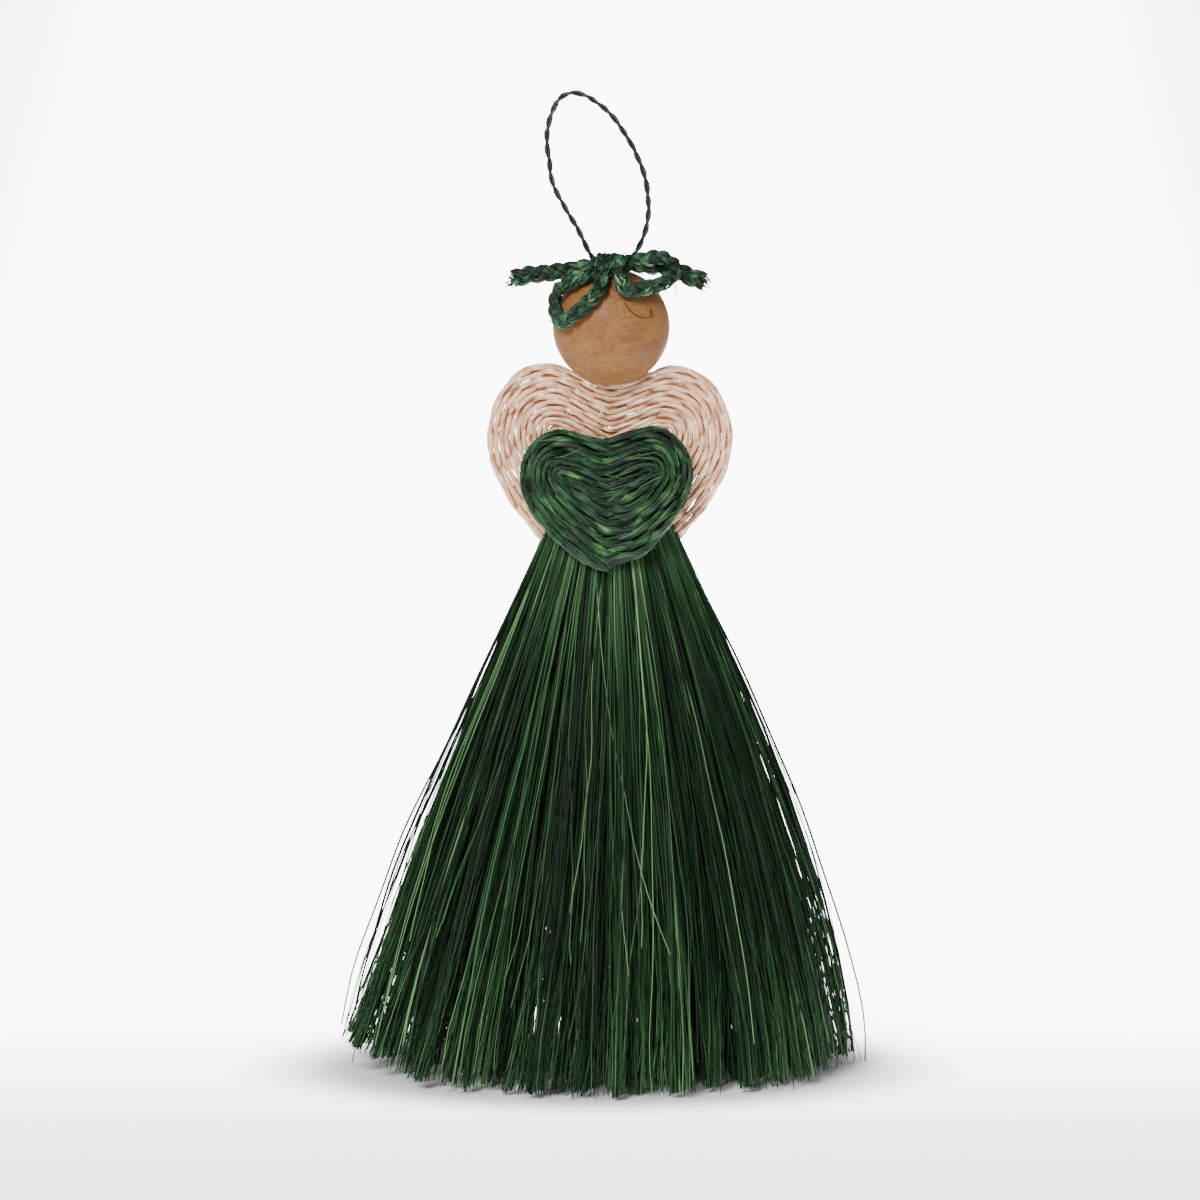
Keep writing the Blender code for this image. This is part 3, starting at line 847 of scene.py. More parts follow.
@dataclass
class Fibres:
    """Many bent fibres, each a cubic Bezier with its own thickness and shade.

    Args:
        root: Start of each fibre.
        lead: First bend of each fibre.
        trail: Second bend of each fibre.
        tip: End of each fibre.
        girth: Half the width of each fibre.
        tone: Shade of each fibre, from 0 dark to 1 light.
    """

    root: np.ndarray
    lead: np.ndarray
    trail: np.ndarray
    tip: np.ndarray
    girth: np.ndarray
    tone: np.ndarray

    # Range of the phases, wide enough that no two fibres wander alike
    PHASES = 1000

    @classmethod
    def through(cls, stops: list[np.ndarray], girth: np.ndarray, tone: np.ndarray) -> Fibres:
        """Fibres that pass through four places, a third of their length apart.

        Args:
            stops: The four places of each fibre.
            girth: Half the width of each fibre.
            tone: Shade of each fibre.

        Returns:
            The fibres.
        """
        first, second, third, last = stops
        lead = (-5 * first + 18 * second - 9 * third + 2 * last) / 6
        trail = (2 * first - 9 * second + 18 * third - 5 * last) / 6
        return cls(first, lead, trail, last, girth, tone)

    def parts(self) -> tuple[np.ndarray, ...]:
        """The arrays in the order of the fields."""
        return self.root, self.lead, self.trail, self.tip, self.girth, self.tone

    def chosen(self, which: np.ndarray) -> Fibres:
        """Some of the fibres."""
        return Fibres(*[part[which] for part in self.parts()])

    def joined(self, other: Fibres) -> Fibres:
        """These fibres and others."""
        return Fibres(*[np.concatenate(pair) for pair in zip(self.parts(), other.parts())])

    def drawn(
        self,
        name: str,
        tree: bpy.types.NodeTree,
        rng: np.random.Generator,
        finish: bpy.types.Material,
        cut: FibreCut,
    ) -> bpy.types.Object:
        """Draws the fibres through the fibre tree.

        Args:
            name: The object's name.
            tree: The fibre tree.
            rng: Source of each fibre's own turn and phase.
            finish: The material.
            cut: How each fibre is drawn.

        Returns:
            One mesh object.
        """
        mesh = bpy.data.meshes.new(name)
        mesh.from_pydata(self.root.tolist(), [], [])
        names = (FibreBundle.ROOT, FibreBundle.LEAD, FibreBundle.TRAIL, FibreBundle.TIP, GIRTH, TONE)
        for label, part in zip(names, self.parts()):
            store(mesh, label, part)
        store(mesh, FibreBundle.TURN, rng.uniform(0, math.pi, len(self.root)))
        store(mesh, PLY, rng.uniform(0, self.PHASES, len(self.root)))
        values = {**named_values(cut, FibreBundle.INPUTS), "Material": finish}
        return run_tree(linked(name, mesh), tree, values)


def lone_fibres(paths: np.ndarray, girth: float, tone: float) -> Fibres:
    """Single fibres, each through four places of its own.

    Args:
        paths: The four places of each fibre, as fibre, place and axis.
        girth: Half the width of each fibre.
        tone: Shade of each fibre.

    Returns:
        The fibres.
    """
    stops = list(np.swapaxes(paths, 0, 1))
    return Fibres.through(stops, np.full(len(paths), girth), np.full(len(paths), tone))


@dataclass(frozen=True)
class Hairs:
    """Short loose fibres that lift from a strand's surface.

    Args:
        count: How many hairs.
        length: Shortest and longest.
        lift: How far the end stands off the surface, at most.
        spread: How far the end goes to the side, at most.
        girth: Least and greatest half width.
        tone: Darkest and lightest shade.
        front_share: Share of the hairs on the side that the depth direction points to.
        seat: Where a hair starts, as a share of the strand's half depth.
        aside: How far from the strand's middle it starts, at most, as a share of its half width.
        least_lift: Least share of the lift.
    """

    count: int
    length: tuple[float, float] = (2.0 * MM, 5.0 * MM)
    lift: float = 0.5 * MM
    spread: float = 0.9 * MM
    girth: tuple[float, float] = (0.05 * MM, 0.10 * MM)
    tone: tuple[float, float] = (0.2, 0.9)
    front_share: float = 0.75
    seat: float = 0.92
    aside: float = 0.8
    least_lift: float = 0.1

    def over(self, lines: list[Line], rng: np.random.Generator) -> Fibres:
        """Spreads hairs over strands.

        Args:
            lines: The strands' middle lines.
            rng: Source of chance.

        Returns:
            The hairs.
        """
        points = np.vstack([line.points for line in lines])
        across = np.vstack([line.across for line in lines])
        deep = np.vstack([line.deep for line in lines])
        ahead = np.vstack([unit(np.gradient(line.points, axis=0)) for line in lines])
        at = rng.integers(0, len(points), self.count)
        way = np.where(rng.random(self.count) < 0.5, -1.0, 1.0)[:, None]
        face = np.where(rng.random(self.count) < self.front_share, 1.0, -1.0)[:, None]
        aside = rng.uniform(-self.aside, self.aside, self.count)[:, None]
        root = points[at] + deep[at] * face * self.seat + across[at] * aside
        length = rng.uniform(*self.length, self.count)[:, None]
        lift = rng.uniform(self.least_lift, 1, self.count)[:, None] * self.lift
        spread = rng.uniform(-1, 1, self.count)[:, None] * self.spread
        out, side = unit(deep[at]) * face, unit(across[at])
        stops = []
        for share in THIRDS:
            bend = share**2
            stops.append(root + ahead[at] * way * length * share + out * lift * bend + side * spread * bend)
        girth = rng.uniform(*self.girth, self.count)
        return Fibres.through(stops, girth, rng.uniform(*self.tone, self.count))


@dataclass
class Studio:
    """Camera, soft lights and floor, as in a white photographic sweep."""

    # The camera: its distance, its height as an angle, and the photograph's width at the ornament
    distance: float = 3.0
    elevation: float = math.radians(8.3)
    view_width: float = 208.7 * MM
    sensor: float = 36.0
    clip: tuple[float, float] = (0.1, 100.0)
    # What the camera looks at, right of and above the hem's middle
    aim: tuple[float, float] = (0.26 * MM, 81.3 * MM)
    floor_half: float = 12.0
    floor_colour: str = "#F4F4F5"
    floor_roughness: float = 0.9
    floor_specular: float = 0.1
    # Size of the paper's faint unevenness, and how much of it shows
    pulp: float = 25 * MM
    pulp_strength: float = 0.02
    # Light through the paper: it fades to the sides, begins in front and grows backwards
    glow: float = 9.0
    glow_left_right: tuple[float, float] = (0.11, 0.22)
    glow_front: tuple[float, float] = (-0.10, 0.10)
    glow_front_share: float = 0.27
    glow_edge: tuple[float, float] = (-0.22, -0.15)
    # Half sizes of the painted shadow under the ornament, where the paper's glow is cut out, and the shares
    # of them where it ends
    painted_shadow_size: tuple[float, float] = (0.046, 0.036)
    painted_shadow_edge: tuple[float, float] = (0.92, 1.50)
    # The lights, and their apparent size, which softens the shadows
    sky_strength: float = 0.34
    key_strength: float = 4.7
    key_from: tuple[float, float, float] = (-0.42, -1.00, 0.80)
    fill_strength: float = 0.4
    fill_from: tuple[float, float, float] = (0.9, -0.9, 0.5)
    light_angle: float = math.radians(22)

    def camera(self) -> None:
        """Makes the camera at the photograph's angle and sets it as the scene's."""
        up = Vector((0, math.sin(self.elevation), math.cos(self.elevation)))
        back = Vector((0, -math.cos(self.elevation), math.sin(self.elevation)))
        data = bpy.data.cameras.new("studio_camera")
        data.sensor_width = self.sensor
        data.lens = self.sensor * self.distance / self.view_width
        data.clip_start, data.clip_end = self.clip
        camera = bpy.data.objects.new("studio_camera", data)
        bpy.context.scene.collection.objects.link(camera)
        camera.location = Vector((self.aim[0], 0, 0)) + up * self.aim[1] + back * self.distance
        camera.rotation_euler = (math.pi / 2 - self.elevation, 0, 0)
        bpy.context.scene.camera = camera

    def lights(self) -> None:
        """Adds a pale sky, a soft key from the left and a softer fill from the right."""
        world = bpy.data.worlds.new("studio_sky")
        world.use_nodes = True
        background = world.node_tree.nodes["Background"]
        background.inputs["Color"].default_value = linear("#FFFFFF")
        background.inputs["Strength"].default_value = self.sky_strength
        bpy.context.scene.world = world
        for name, strength, source in (
            ("key_light", self.key_strength, self.key_from),
            ("fill_light", self.fill_strength, self.fill_from),
        ):
            data = bpy.data.lights.new(name, "SUN")
            data.energy = strength
            data.angle = self.light_angle
            light = bpy.data.objects.new(name, data)
            bpy.context.scene.collection.objects.link(light)
            light.rotation_euler = Vector(source).to_track_quat("Z", "Y").to_euler()

    def floor(self) -> None:
        """Lays the plain pale floor, which is also the backdrop."""
        material = bpy.data.materials.new("matt_white_paper")
        material.use_nodes = True
        tree = material.node_tree
        add = functools.partial(add_node, tree)
        shader = tree.nodes["Principled BSDF"]
        place = add("ShaderNodeTexCoord").outputs["Object"]
        pulp = add(NOISE, {"Vector": place, "Scale": 1 / self.pulp, "Detail": 2.0})
        bump = add("ShaderNodeBump", {"Strength": self.pulp_strength, "Distance": MM, "Height": pulp})

        # Light shines through the paper behind the ornament, as on a lit table; under the ornament the glow
        # is cut out as a painted shadow
        axes = add("ShaderNodeSeparateXYZ", {0: place})
        to_side = add(MATH, {0: axes.outputs["X"]}, operation="ABSOLUTE")
        backwards = axes.outputs["Y"]
        # A painted shadow: the glow fades out in an ellipse under the ornament's hem
        foot = (1 / self.painted_shadow_size[0], 1 / self.painted_shadow_size[1], 0.0)
        from_painted_shadow = add(VECTOR_MATH, {0: place, 1: foot}, operation="MULTIPLY")
        from_painted_shadow = add(VECTOR_MATH, {0: from_painted_shadow}, operation="LENGTH").outputs["Value"]
        lit: bpy.types.Node | float = self.glow
        for source, (start, end), low, high in (
            (to_side, self.glow_left_right, 1.0, 0.0),
            (backwards, self.glow_front, self.glow_front_share, 1.0),
            (backwards, self.glow_edge, 0.0, 1.0),
            (from_painted_shadow, self.painted_shadow_edge, 0.0, 1.0),
        ):
            limits = {"Value": source, "From Min": start, "From Max": end, "To Min": low, "To Max": high}
            share = add(MAP_RANGE, limits, interpolation_type="SMOOTHSTEP")
            lit = add(MATH, {0: share, 1: lit}, operation="MULTIPLY")
        tree.links.new(lit.outputs[0], shader.inputs["Emission Strength"])
        tree.links.new(bump.outputs[0], shader.inputs["Normal"])
        shader.inputs["Base Color"].default_value = linear(self.floor_colour)
        shader.inputs["Roughness"].default_value = self.floor_roughness
        shader.inputs["Specular IOR Level"].default_value = self.floor_specular
        shader.inputs["Emission Color"].default_value = linear("#FFFFFF")
        half = self.floor_half
        corners = [(-half, -half, 0), (half, -half, 0), (half, half, 0), (-half, half, 0)]
        mesh = bpy.data.meshes.new("floor")
        mesh.from_pydata(corners, [], [tuple(range(len(corners)))])
        mesh.materials.append(material)
        linked("floor", mesh)


@dataclass(frozen=True)
class Yarn:
    """How a yarn is spun. A share with no note of its own is of half the yarn's width."""

    plies: int = 2
    # Fibres in a ply: how many, their radius as a share of the ply's, their turns for each of its turns
    fibres: int = 1
    fibre_share: float = 1.0
    fibre_twist: float = 0.6
    # Plies: length of a full turn, their radius, how far they go sideways, how quickly they cross
    pitch: float = 7.0 * MM
    ply_share: float = 0.60
    swing: float = 0.48
    squareness: float = 2.2
    twist: Twist = Twist.Z
    # A fibre's cross-section, in which every other corner is cut back by a share of its radius
    sides: int = 10
    groove: float = 0.13
    # How uneven the place and thickness of a ply are, over which length, and the spread in shade
    waver: float = 0.35
    waver_length: float = 4.0 * MM
    tone_spread: float = 0.5

    def wound(
        self, name: str, lines: list[Line], tree: bpy.types.NodeTree, finish: bpy.types.Material, seed: int
    ) -> bpy.types.Object:
        """Lays the yarn along lines.

        Args:
            name: The object's name.
            lines: The middle lines.
            tree: The plied strand tree.
            finish: The material.
            seed: Seed of the yarn's unevenness.

        Returns:
            One mesh object.
        """
        values = named_values(self, PliedStrand.INPUTS)
        values |= {"Pitch": self.pitch * self.twist.value, "Seed": seed, "Material": finish}
        return run_tree(lines_object(name, lines), tree, values)


@dataclass(frozen=True)
class SkirtShape:
    """The outer form of the bundle, with the sizes of the part's source."""

    height: float = 0.1075
    hem_width: float = 0.0877
    hem_depth: float = 0.0680
    gather_width: float = 0.0104
    gather_depth: float = 0.0108
    # How far the gather stands to the right, and how the form opens down the height
    body_shift: float = 0.0020
    spread_power: float = 1.25
    depth_power: float = 1.20
    shift_power: float = 3.0
    # How far the hem's two ends are off the floor
    left_lift: float = 0.0046
    right_lift: float = 0.0014

    def spread(self, share: np.ndarray) -> np.ndarray:
        """How far the skirt has opened at shares of its height, from 0 at the gather to 1 at the hem."""
        return 1 - np.clip(share, 0, 1) ** self.spread_power

    def half_width(self, share: np.ndarray) -> np.ndarray:
        """Half the skirt's width at shares of its height."""
        return (self.gather_width + (self.hem_width - self.gather_width) * self.spread(share)) / 2

    def half_depth(self, share: np.ndarray) -> np.ndarray:
        """Half the skirt's depth at shares of its height."""
        opened = self.spread(share) ** self.depth_power
        return (self.gather_depth + (self.hem_depth - self.gather_depth) * opened) / 2

    def centre(self, share: np.ndarray) -> np.ndarray:
        """Where the skirt's middle lies to the right at shares of its height."""
        return self.body_shift * (1 - (1 - np.clip(share, 0, 1)) ** self.shift_power)

    def place(self, disk: np.ndarray, share: np.ndarray) -> np.ndarray:
        """Places in the bundle.

        Args:
            disk: Each fibre's place in the bundle's cross-section, as shares of its half sizes.
            share: Shares of the height.

        Returns:
            The places, one row each.
        """
        x = self.centre(share) + self.half_width(share) * disk[:, 0]
        y = self.half_depth(share) * disk[:, 1]
        return np.stack([x, y, self.height * share], axis=1)


@dataclass(frozen=True)
class HeartShape:
    """A flat heart of yarn rows wound round a thin vee, with the sizes of the part's source."""

    width: float
    height: float
    notch: float
    thickness: float
    rows: int
    core_reach: float
    # How far the sides bend back
    wrap: float = 0.0
    # The outer edge: shares of half the width, of the height or of the notch
    lobe_top: float = 0.52
    widest: float = 0.67
    notch_handle: tuple[float, float] = (0.200, 0.15)
    top_handle: float = 0.155
    lobe_round: float = 0.58
    side_fall: float = 0.34
    tip_handle: tuple[float, float] = (0.44, 0.15)
    # The vee: how far its ends and its corner lie below the lobes, and how round the corner is
    core_lobe_drop: float = 0.295
    core_vee_drop: float = 0.44
    core_bend: float = 0.25
    core_points: int = 41
    # How the points are shared between the edge's three spans, and the yarn's way round them
    segments: tuple[int, int, int] = (4, 5, 7)
    turn_points: int = 480
    step_share: float = 0.07
    corner_round: float = 0.9 * MM
    # The yarn's first end goes behind the rows, and both ends are thinner
    tucked_points: int = 10
    tuck_rise: float = 1.0 * MM
    end_girth: float = 0.35
    end_points: int = 8
    # Distance between the finished points, and limits of the yarn's half width
    point_step: float = 0.45 * MM
    least_half: float = 0.42 * MM
    most_half: float = 0.95 * MM
    half_passes: int = 12

    def spans(self) -> list[tuple[np.ndarray, ...]]:
        """Bezier spans of the right half of the outer edge, from the notch down to the tip."""
        half = self.width / 2
        dip = np.array([0, self.height - self.notch])
        top = np.array([self.lobe_top * half, self.height])
        side = np.array([half, self.widest * self.height])
        tip = np.zeros(2)
        handle = np.array([self.notch_handle[0] * half, self.notch_handle[1] * self.notch])
        tip_lead = np.array([self.tip_handle[0] * half, self.tip_handle[1] * self.height])
        across_top = np.array([self.top_handle * half, 0])
        round_top = np.array([(half - top[0]) * self.lobe_round, 0])
        round_side = np.array([0, (self.height - side[1]) * self.lobe_round])
        fall = np.array([0, side[1] * self.side_fall])
        return [
            (dip, dip + handle, top - across_top, top),
            (top, top + round_top, side + round_side, side),
            (side, side - fall, tip + tip_lead, tip),
        ]

    def edge(self, way: np.ndarray) -> np.ndarray:
        """Points of the right half's outer edge.

        Args:
            way: From 0 at the notch to 1 at the tip.

        Returns:
            The points as right and up.
        """
        total = sum(self.segments)
        places = np.zeros((len(way), 2))
        start = 0
        for span, count in zip(self.spans(), self.segments):
            inside = (way * total >= start) & (way * total <= start + count)
            share = (way[inside] * total - start) / count
            places[inside] = bezier(*span, share[:, None])
            start += count
        return places

    def core(self, way: np.ndarray) -> np.ndarray:
        """Points of the right half of the vee that the rows are wound round."""
        lobe = np.array([self.core_reach * self.width / 2, self.height * (1 - self.core_lobe_drop)])
        vee = np.array([0, self.height * (1 - self.core_vee_drop)])
        turn = math.pi * way
        reach = np.sin(turn)[:, None]
        places = vee * (1 - reach) + lobe * reach
        places[:, 1] += self.width / (8 * self.rows) * np.cos(turn)
        return places

    def winding(self) -> tuple[np.ndarray, np.ndarray]:
        """The yarn's middle line from the tip, round and inwards.

        Returns:
            The points as right and up, and the step to the next row at each.
        """
        count = self.turn_points
        turns = np.arange(self.rows * count + 1) / count
        row = np.minimum(np.floor(turns), self.rows - 1)
        part = turns - row
        late = np.clip((part - 1 + self.step_share) / self.step_share, 0, 1)
        step = late**2 * (3 - 2 * late) * (row < self.rows - 1)
        share = ((row + 0.5 + step) / self.rows)[:, None]
        way = np.where(part < 0.5, 1 - 2 * part, 2 * part - 1)
        side = np.where(part < 0.5, -1.0, 1.0)
        edge, core = self.edge(way), self.core(way)
        flat = edge * (1 - share) + core * share
        to_next = (core - edge) / self.rows
        flat[:, 0] *= side
        to_next[:, 0] *= side
        fine = self.point_step / 3
        flat, to_next = evenly(flat, fine, to_next)
        passes = round((self.corner_round / fine) ** 2 / 2)
        flat, to_next = softened(flat, passes), softened(to_next, passes)
        flat, to_next = evenly(flat, self.point_step, to_next)
        return flat, to_next

    def lines(self, place: Matrix) -> list[Line]:
        """The yarn's middle lines in the ornament's frame.

        Args:
            place: Puts the heart in its place.

        Returns:
            The line of the rows, and the short one that closes the heart's middle.
        """
        flat, to_next = self.winding()
        middle = np.linspace(-1, 1, self.core_points)
        bent = np.sqrt(middle**2 + self.core_bend**2) - self.core_bend
        lobe_up = self.height * (1 - self.core_lobe_drop)
        vee_up = self.height * (1 - self.core_vee_drop)
        right = middle * self.core_reach * self.width / 2
        core = np.stack([right, vee_up + (lobe_up - vee_up) * bent], axis=1)
        core = evenly(core, self.point_step)[0]
        across = np.zeros_like(core)
        across[:, 1] = self.width / (2 * self.rows)
        return [self.line(flat, to_next, place), self.line(core, across, place)]

    def line(self, flat: np.ndarray, to_next: np.ndarray, place: Matrix) -> Line:
        """One of the yarn's middle lines in the ornament's frame.

        Args:
            flat: The line as right and up.
            to_next: The step to the next row at each point.
            place: Puts the heart in its place.

        Returns:
            The line, with the local row width and the heart's thickness.
        """
        ahead = unit(np.gradient(flat, axis=0))
        normal = np.stack([-ahead[:, 1], ahead[:, 0]], axis=1)
        half = np.clip(np.abs(np.sum(to_next * normal, axis=1)) / 2, self.least_half, self.most_half)
        half = softened(half[:, None], self.half_passes)[:, 0]
        zeros = np.zeros(len(flat))
        number = np.arange(len(flat))
        tuck = np.clip(1 - number / self.tucked_points, 0, 1)
        back = self.wrap * (2 * flat[:, 0] / self.width) ** 2 + tuck * self.thickness / 3
        local = np.stack([flat[:, 0], back, flat[:, 1] + tuck * self.tuck_rise], axis=1)
        across = np.stack([normal[:, 0] * half, zeros, normal[:, 1] * half], axis=1)
        deep = np.stack([zeros, zeros - self.thickness / 2, zeros], axis=1)
        turn = np.array(place.to_3x3())
        shift = np.array(place.translation)
        fade = np.minimum(1, self.end_girth + np.minimum(number, number[::-1]) / self.end_points)
        return Line(local @ turn.T + shift, across @ turn.T, deep @ turn.T, fade)


def rolled(height: float, roll: float) -> Matrix:
    """A turn of a heart about its middle, by a roll towards the right."""
    middle = Matrix.Translation((0, 0, height / 2))
    return middle @ Matrix.Rotation(roll, 4, "Y") @ middle.inverted()


class WoundHeart:
    """What both hearts share: one yarn wound in rows, and single fibres that stand off it."""

    name: str
    node: str
    slot: str
    shape: HeartShape
    yarn: Yarn
    hairs: Hairs
    stray_half: float
    stray_tone: float
    seed: int
    STRAYS: tuple[tuple[tuple[float, float, float], ...], ...]

    def place(self) -> Matrix:
        """Puts the heart in its place, which each kind of heart says for itself."""
        raise NotImplementedError

    def build(self, trees: Trees, finish: bpy.types.Material) -> None:
        """Winds the heart and lays its loose fibres.

        Args:
            trees: The two trees.
            finish: The yarn's material.
        """
        lines = self.shape.lines(self.place())
        rng = np.random.default_rng(self.seed)
        rows = self.yarn.wound(f"{self.name}_yarn", lines, trees.strand, finish, self.seed)
        put_on(rows, self.node)
        strays = lone_fibres(np.array(self.STRAYS) * MM, self.stray_half, self.stray_tone)
        hairs = self.hairs.over(lines, rng).joined(strays)
        piece = hairs.drawn(f"{self.name}_hairs", trees.fibres, rng, finish, FibreCut())
        put_on(piece, self.node)


@dataclass
class WingHeart(WoundHeart):
    """The pale heart, upright in the middle of the bundle."""

    name: str = "wing"
    node: str = "wing_heart"
    slot: str = "wing_yarn"
    shape: HeartShape = HeartShape(
        width=0.0424, height=0.0407, notch=0.0034, thickness=0.0026, rows=13, core_reach=0.42
    )
    tip: tuple[float, float, float] = (0.0018, 0.0, 0.0826)
    roll: float = math.radians(1.2)
    yarn: Yarn = Yarn(
        fibres=4,
        fibre_share=0.55,
        pitch=14.0 * MM,
        ply_share=0.98,
        swing=0.30,
        squareness=2.6,
        sides=4,
        groove=0.0,
        waver=0.45,
        waver_length=3.0 * MM,
        tone_spread=1.2,
    )
    hairs: Hairs = Hairs(count=90, lift=0.35 * MM, spread=0.7 * MM, tone=(0.5, 1.0))
    stray_half: float = 0.09 * MM
    stray_tone: float = 1.0
    seed: int = 3

    # Single fibres that stand off the front face, above the bodice: four places each, in millimetres
    STRAYS = (
        ((1.0, -1.6, 116.5), (0.4, -2.1, 115.2), (-0.5, -2.3, 113.8), (-1.1, -2.2, 112.4)),
        ((-0.2, -1.6, 116.8), (0.2, -2.0, 115.8), (0.9, -2.1, 114.8), (1.4, -1.9, 114.0)),
        ((5.6, -1.6, 114.2), (6.2, -2.1, 114.8), (6.9, -2.2, 115.6), (7.4, -1.9, 116.6)),
    )

    def place(self) -> Matrix:
        """Stands the heart upright on its tip, with its roll."""
        return Matrix.Translation(self.tip) @ rolled(self.shape.height, self.roll)


@dataclass
class BodiceHeart(WoundHeart):
    """The green heart, leaning back with the front of the bundle."""

    skirt: SkirtShape
    name: str = "bodice"
    node: str = "bodice_heart"
    slot: str = "bodice_yarn"
    shape: HeartShape = HeartShape(
        width=0.0298,
        height=0.0264,
        notch=0.0020,
        thickness=0.0026,
        rows=8,
        core_reach=0.52,
        wrap=0.0010,
        least_half=0.46 * MM,
    )
    tip_x: float = 0.0015
    tip_z: float = 0.0874
    # Heights at which the front of the bundle is measured
    lean_points: int = 21
    roll: float = math.radians(-2.0)
    gap: float = 0.3 * MM
    yarn: Yarn = Yarn(
        fibres=11,
        fibre_share=0.32,
        fibre_twist=0.2,
        pitch=17.0 * MM,
        ply_share=1.00,
        swing=0.36,
        squareness=1.6,
        sides=3,
        groove=0.0,
        waver=0.5,
        tone_spread=1.7,
    )
    hairs: Hairs = Hairs(count=260, lift=0.35 * MM, girth=(0.06 * MM, 0.12 * MM), tone=(0.3, 1.1))
    stray_half: float = 0.12 * MM
    stray_tone: float = 0.4
    seed: int = 11

    # Single fibres that stand out at the edges: four places each, in millimetres
    STRAYS = (
        ((15.0, -9.8, 100.2), (15.8, -9.8, 99.5), (16.3, -9.9, 98.6), (16.4, -10.0, 97.4)),
        ((14.8, -9.8, 98.8), (15.5, -9.8, 98.4), (16.1, -9.8, 98.2), (16.7, -9.8, 98.3)),
    )

    def place(self) -> Matrix:
        """Lays the heart's back face against the front of the bundle."""
        low = self.tip_z
        high = low + self.shape.height * (1 - self.shape.core_lobe_drop)
        heights = np.linspace(low, high, self.lean_points)
        front = -self.skirt.half_depth(heights / self.skirt.height) - self.gap
        lean = math.atan2(front[-1] - front[0], high - low)
        tip_y = float(np.min(front - (heights - low) * math.tan(lean)))
        stand = self.shape.thickness / 2 / math.cos(lean)
        put = Matrix.Translation((self.tip_x, tip_y - stand, self.tip_z))
        return put @ Matrix.Rotation(-lean, 4, "X") @ rolled(self.shape.height, self.roll)


@dataclass
class HeadBead:
    """The turned wooden bead, drilled from top to bottom."""

    node: str = "head_bead"
    slot: str = "bead_wood"
    diameter: float = 0.0202
    bore: float = 0.0042
    edge_round: float = 0.20 * MM
    # How much longer down the hole than across it the rounding is
    edge_stretch: float = 1.2
    around: int = 128
    down: int = 72
    edge_steps: int = 8
    # The resin mark: right, back and up from the bead's middle
    mark: tuple[float, float, float] = (6.9 * MM, -6.6 * MM, 3.4 * MM)

    def centre(self) -> Vector:
        """The middle of the bead's CAD node."""
        low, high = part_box(self.node)
        return (low + high) / 2

    def profile(self) -> list[tuple[float, float]]:
        """The closed outline that is turned, as distance from the axis and height.

        Returns:
            The outline, from the top edge of the bore down the outside and up the bore.
        """
        radius, hole, soft = self.diameter / 2, self.bore / 2, self.edge_round
        start = math.asin((hole + soft) / radius)
        outer = [start + (math.pi - 2 * start) * i / self.down for i in range(self.down + 1)]
        points = [(radius * math.sin(a), radius * math.cos(a)) for a in outer]
        top = radius * math.cos(start)
        bend = [math.pi / 2 * i / self.edge_steps for i in range(1, self.edge_steps + 1)]
        tall = soft * self.edge_stretch
        lower = [(hole + soft * (1 - math.sin(a)), -top + tall * (1 - math.cos(a))) for a in bend]
        upper = [(r, -z) for r, z in reversed(lower)]
        return [*points, *lower, *upper]

    def build(self) -> None:
        """Turns the bead."""
        outline = self.profile()
        bm = bmesh.new()
        rings = []
        for i in range(self.around):
            angle = 2 * math.pi * i / self.around
            rings.append([bm.verts.new((r * math.cos(angle), r * math.sin(angle), z)) for r, z in outline])
        for i, ring in enumerate(rings):
            after = rings[(i + 1) % len(rings)]
            for j in range(len(ring)):
                k = (j + 1) % len(ring)
                bm.faces.new((ring[j], ring[k], after[k], after[j]))
        bmesh.ops.recalc_face_normals(bm, faces=bm.faces)
        centre = self.centre()
        bmesh.ops.translate(bm, vec=centre, verts=bm.verts)
        mesh = bpy.data.meshes.new("turned_bead")
        bm.to_mesh(mesh)
        bm.free()
        mesh.shade_smooth()
        wood = VarnishedWood("varnished_turned_wood", centre, centre + Vector(self.mark))
        mesh.materials.append(wood.material())
        put_on(linked("turned_bead", mesh), self.node)


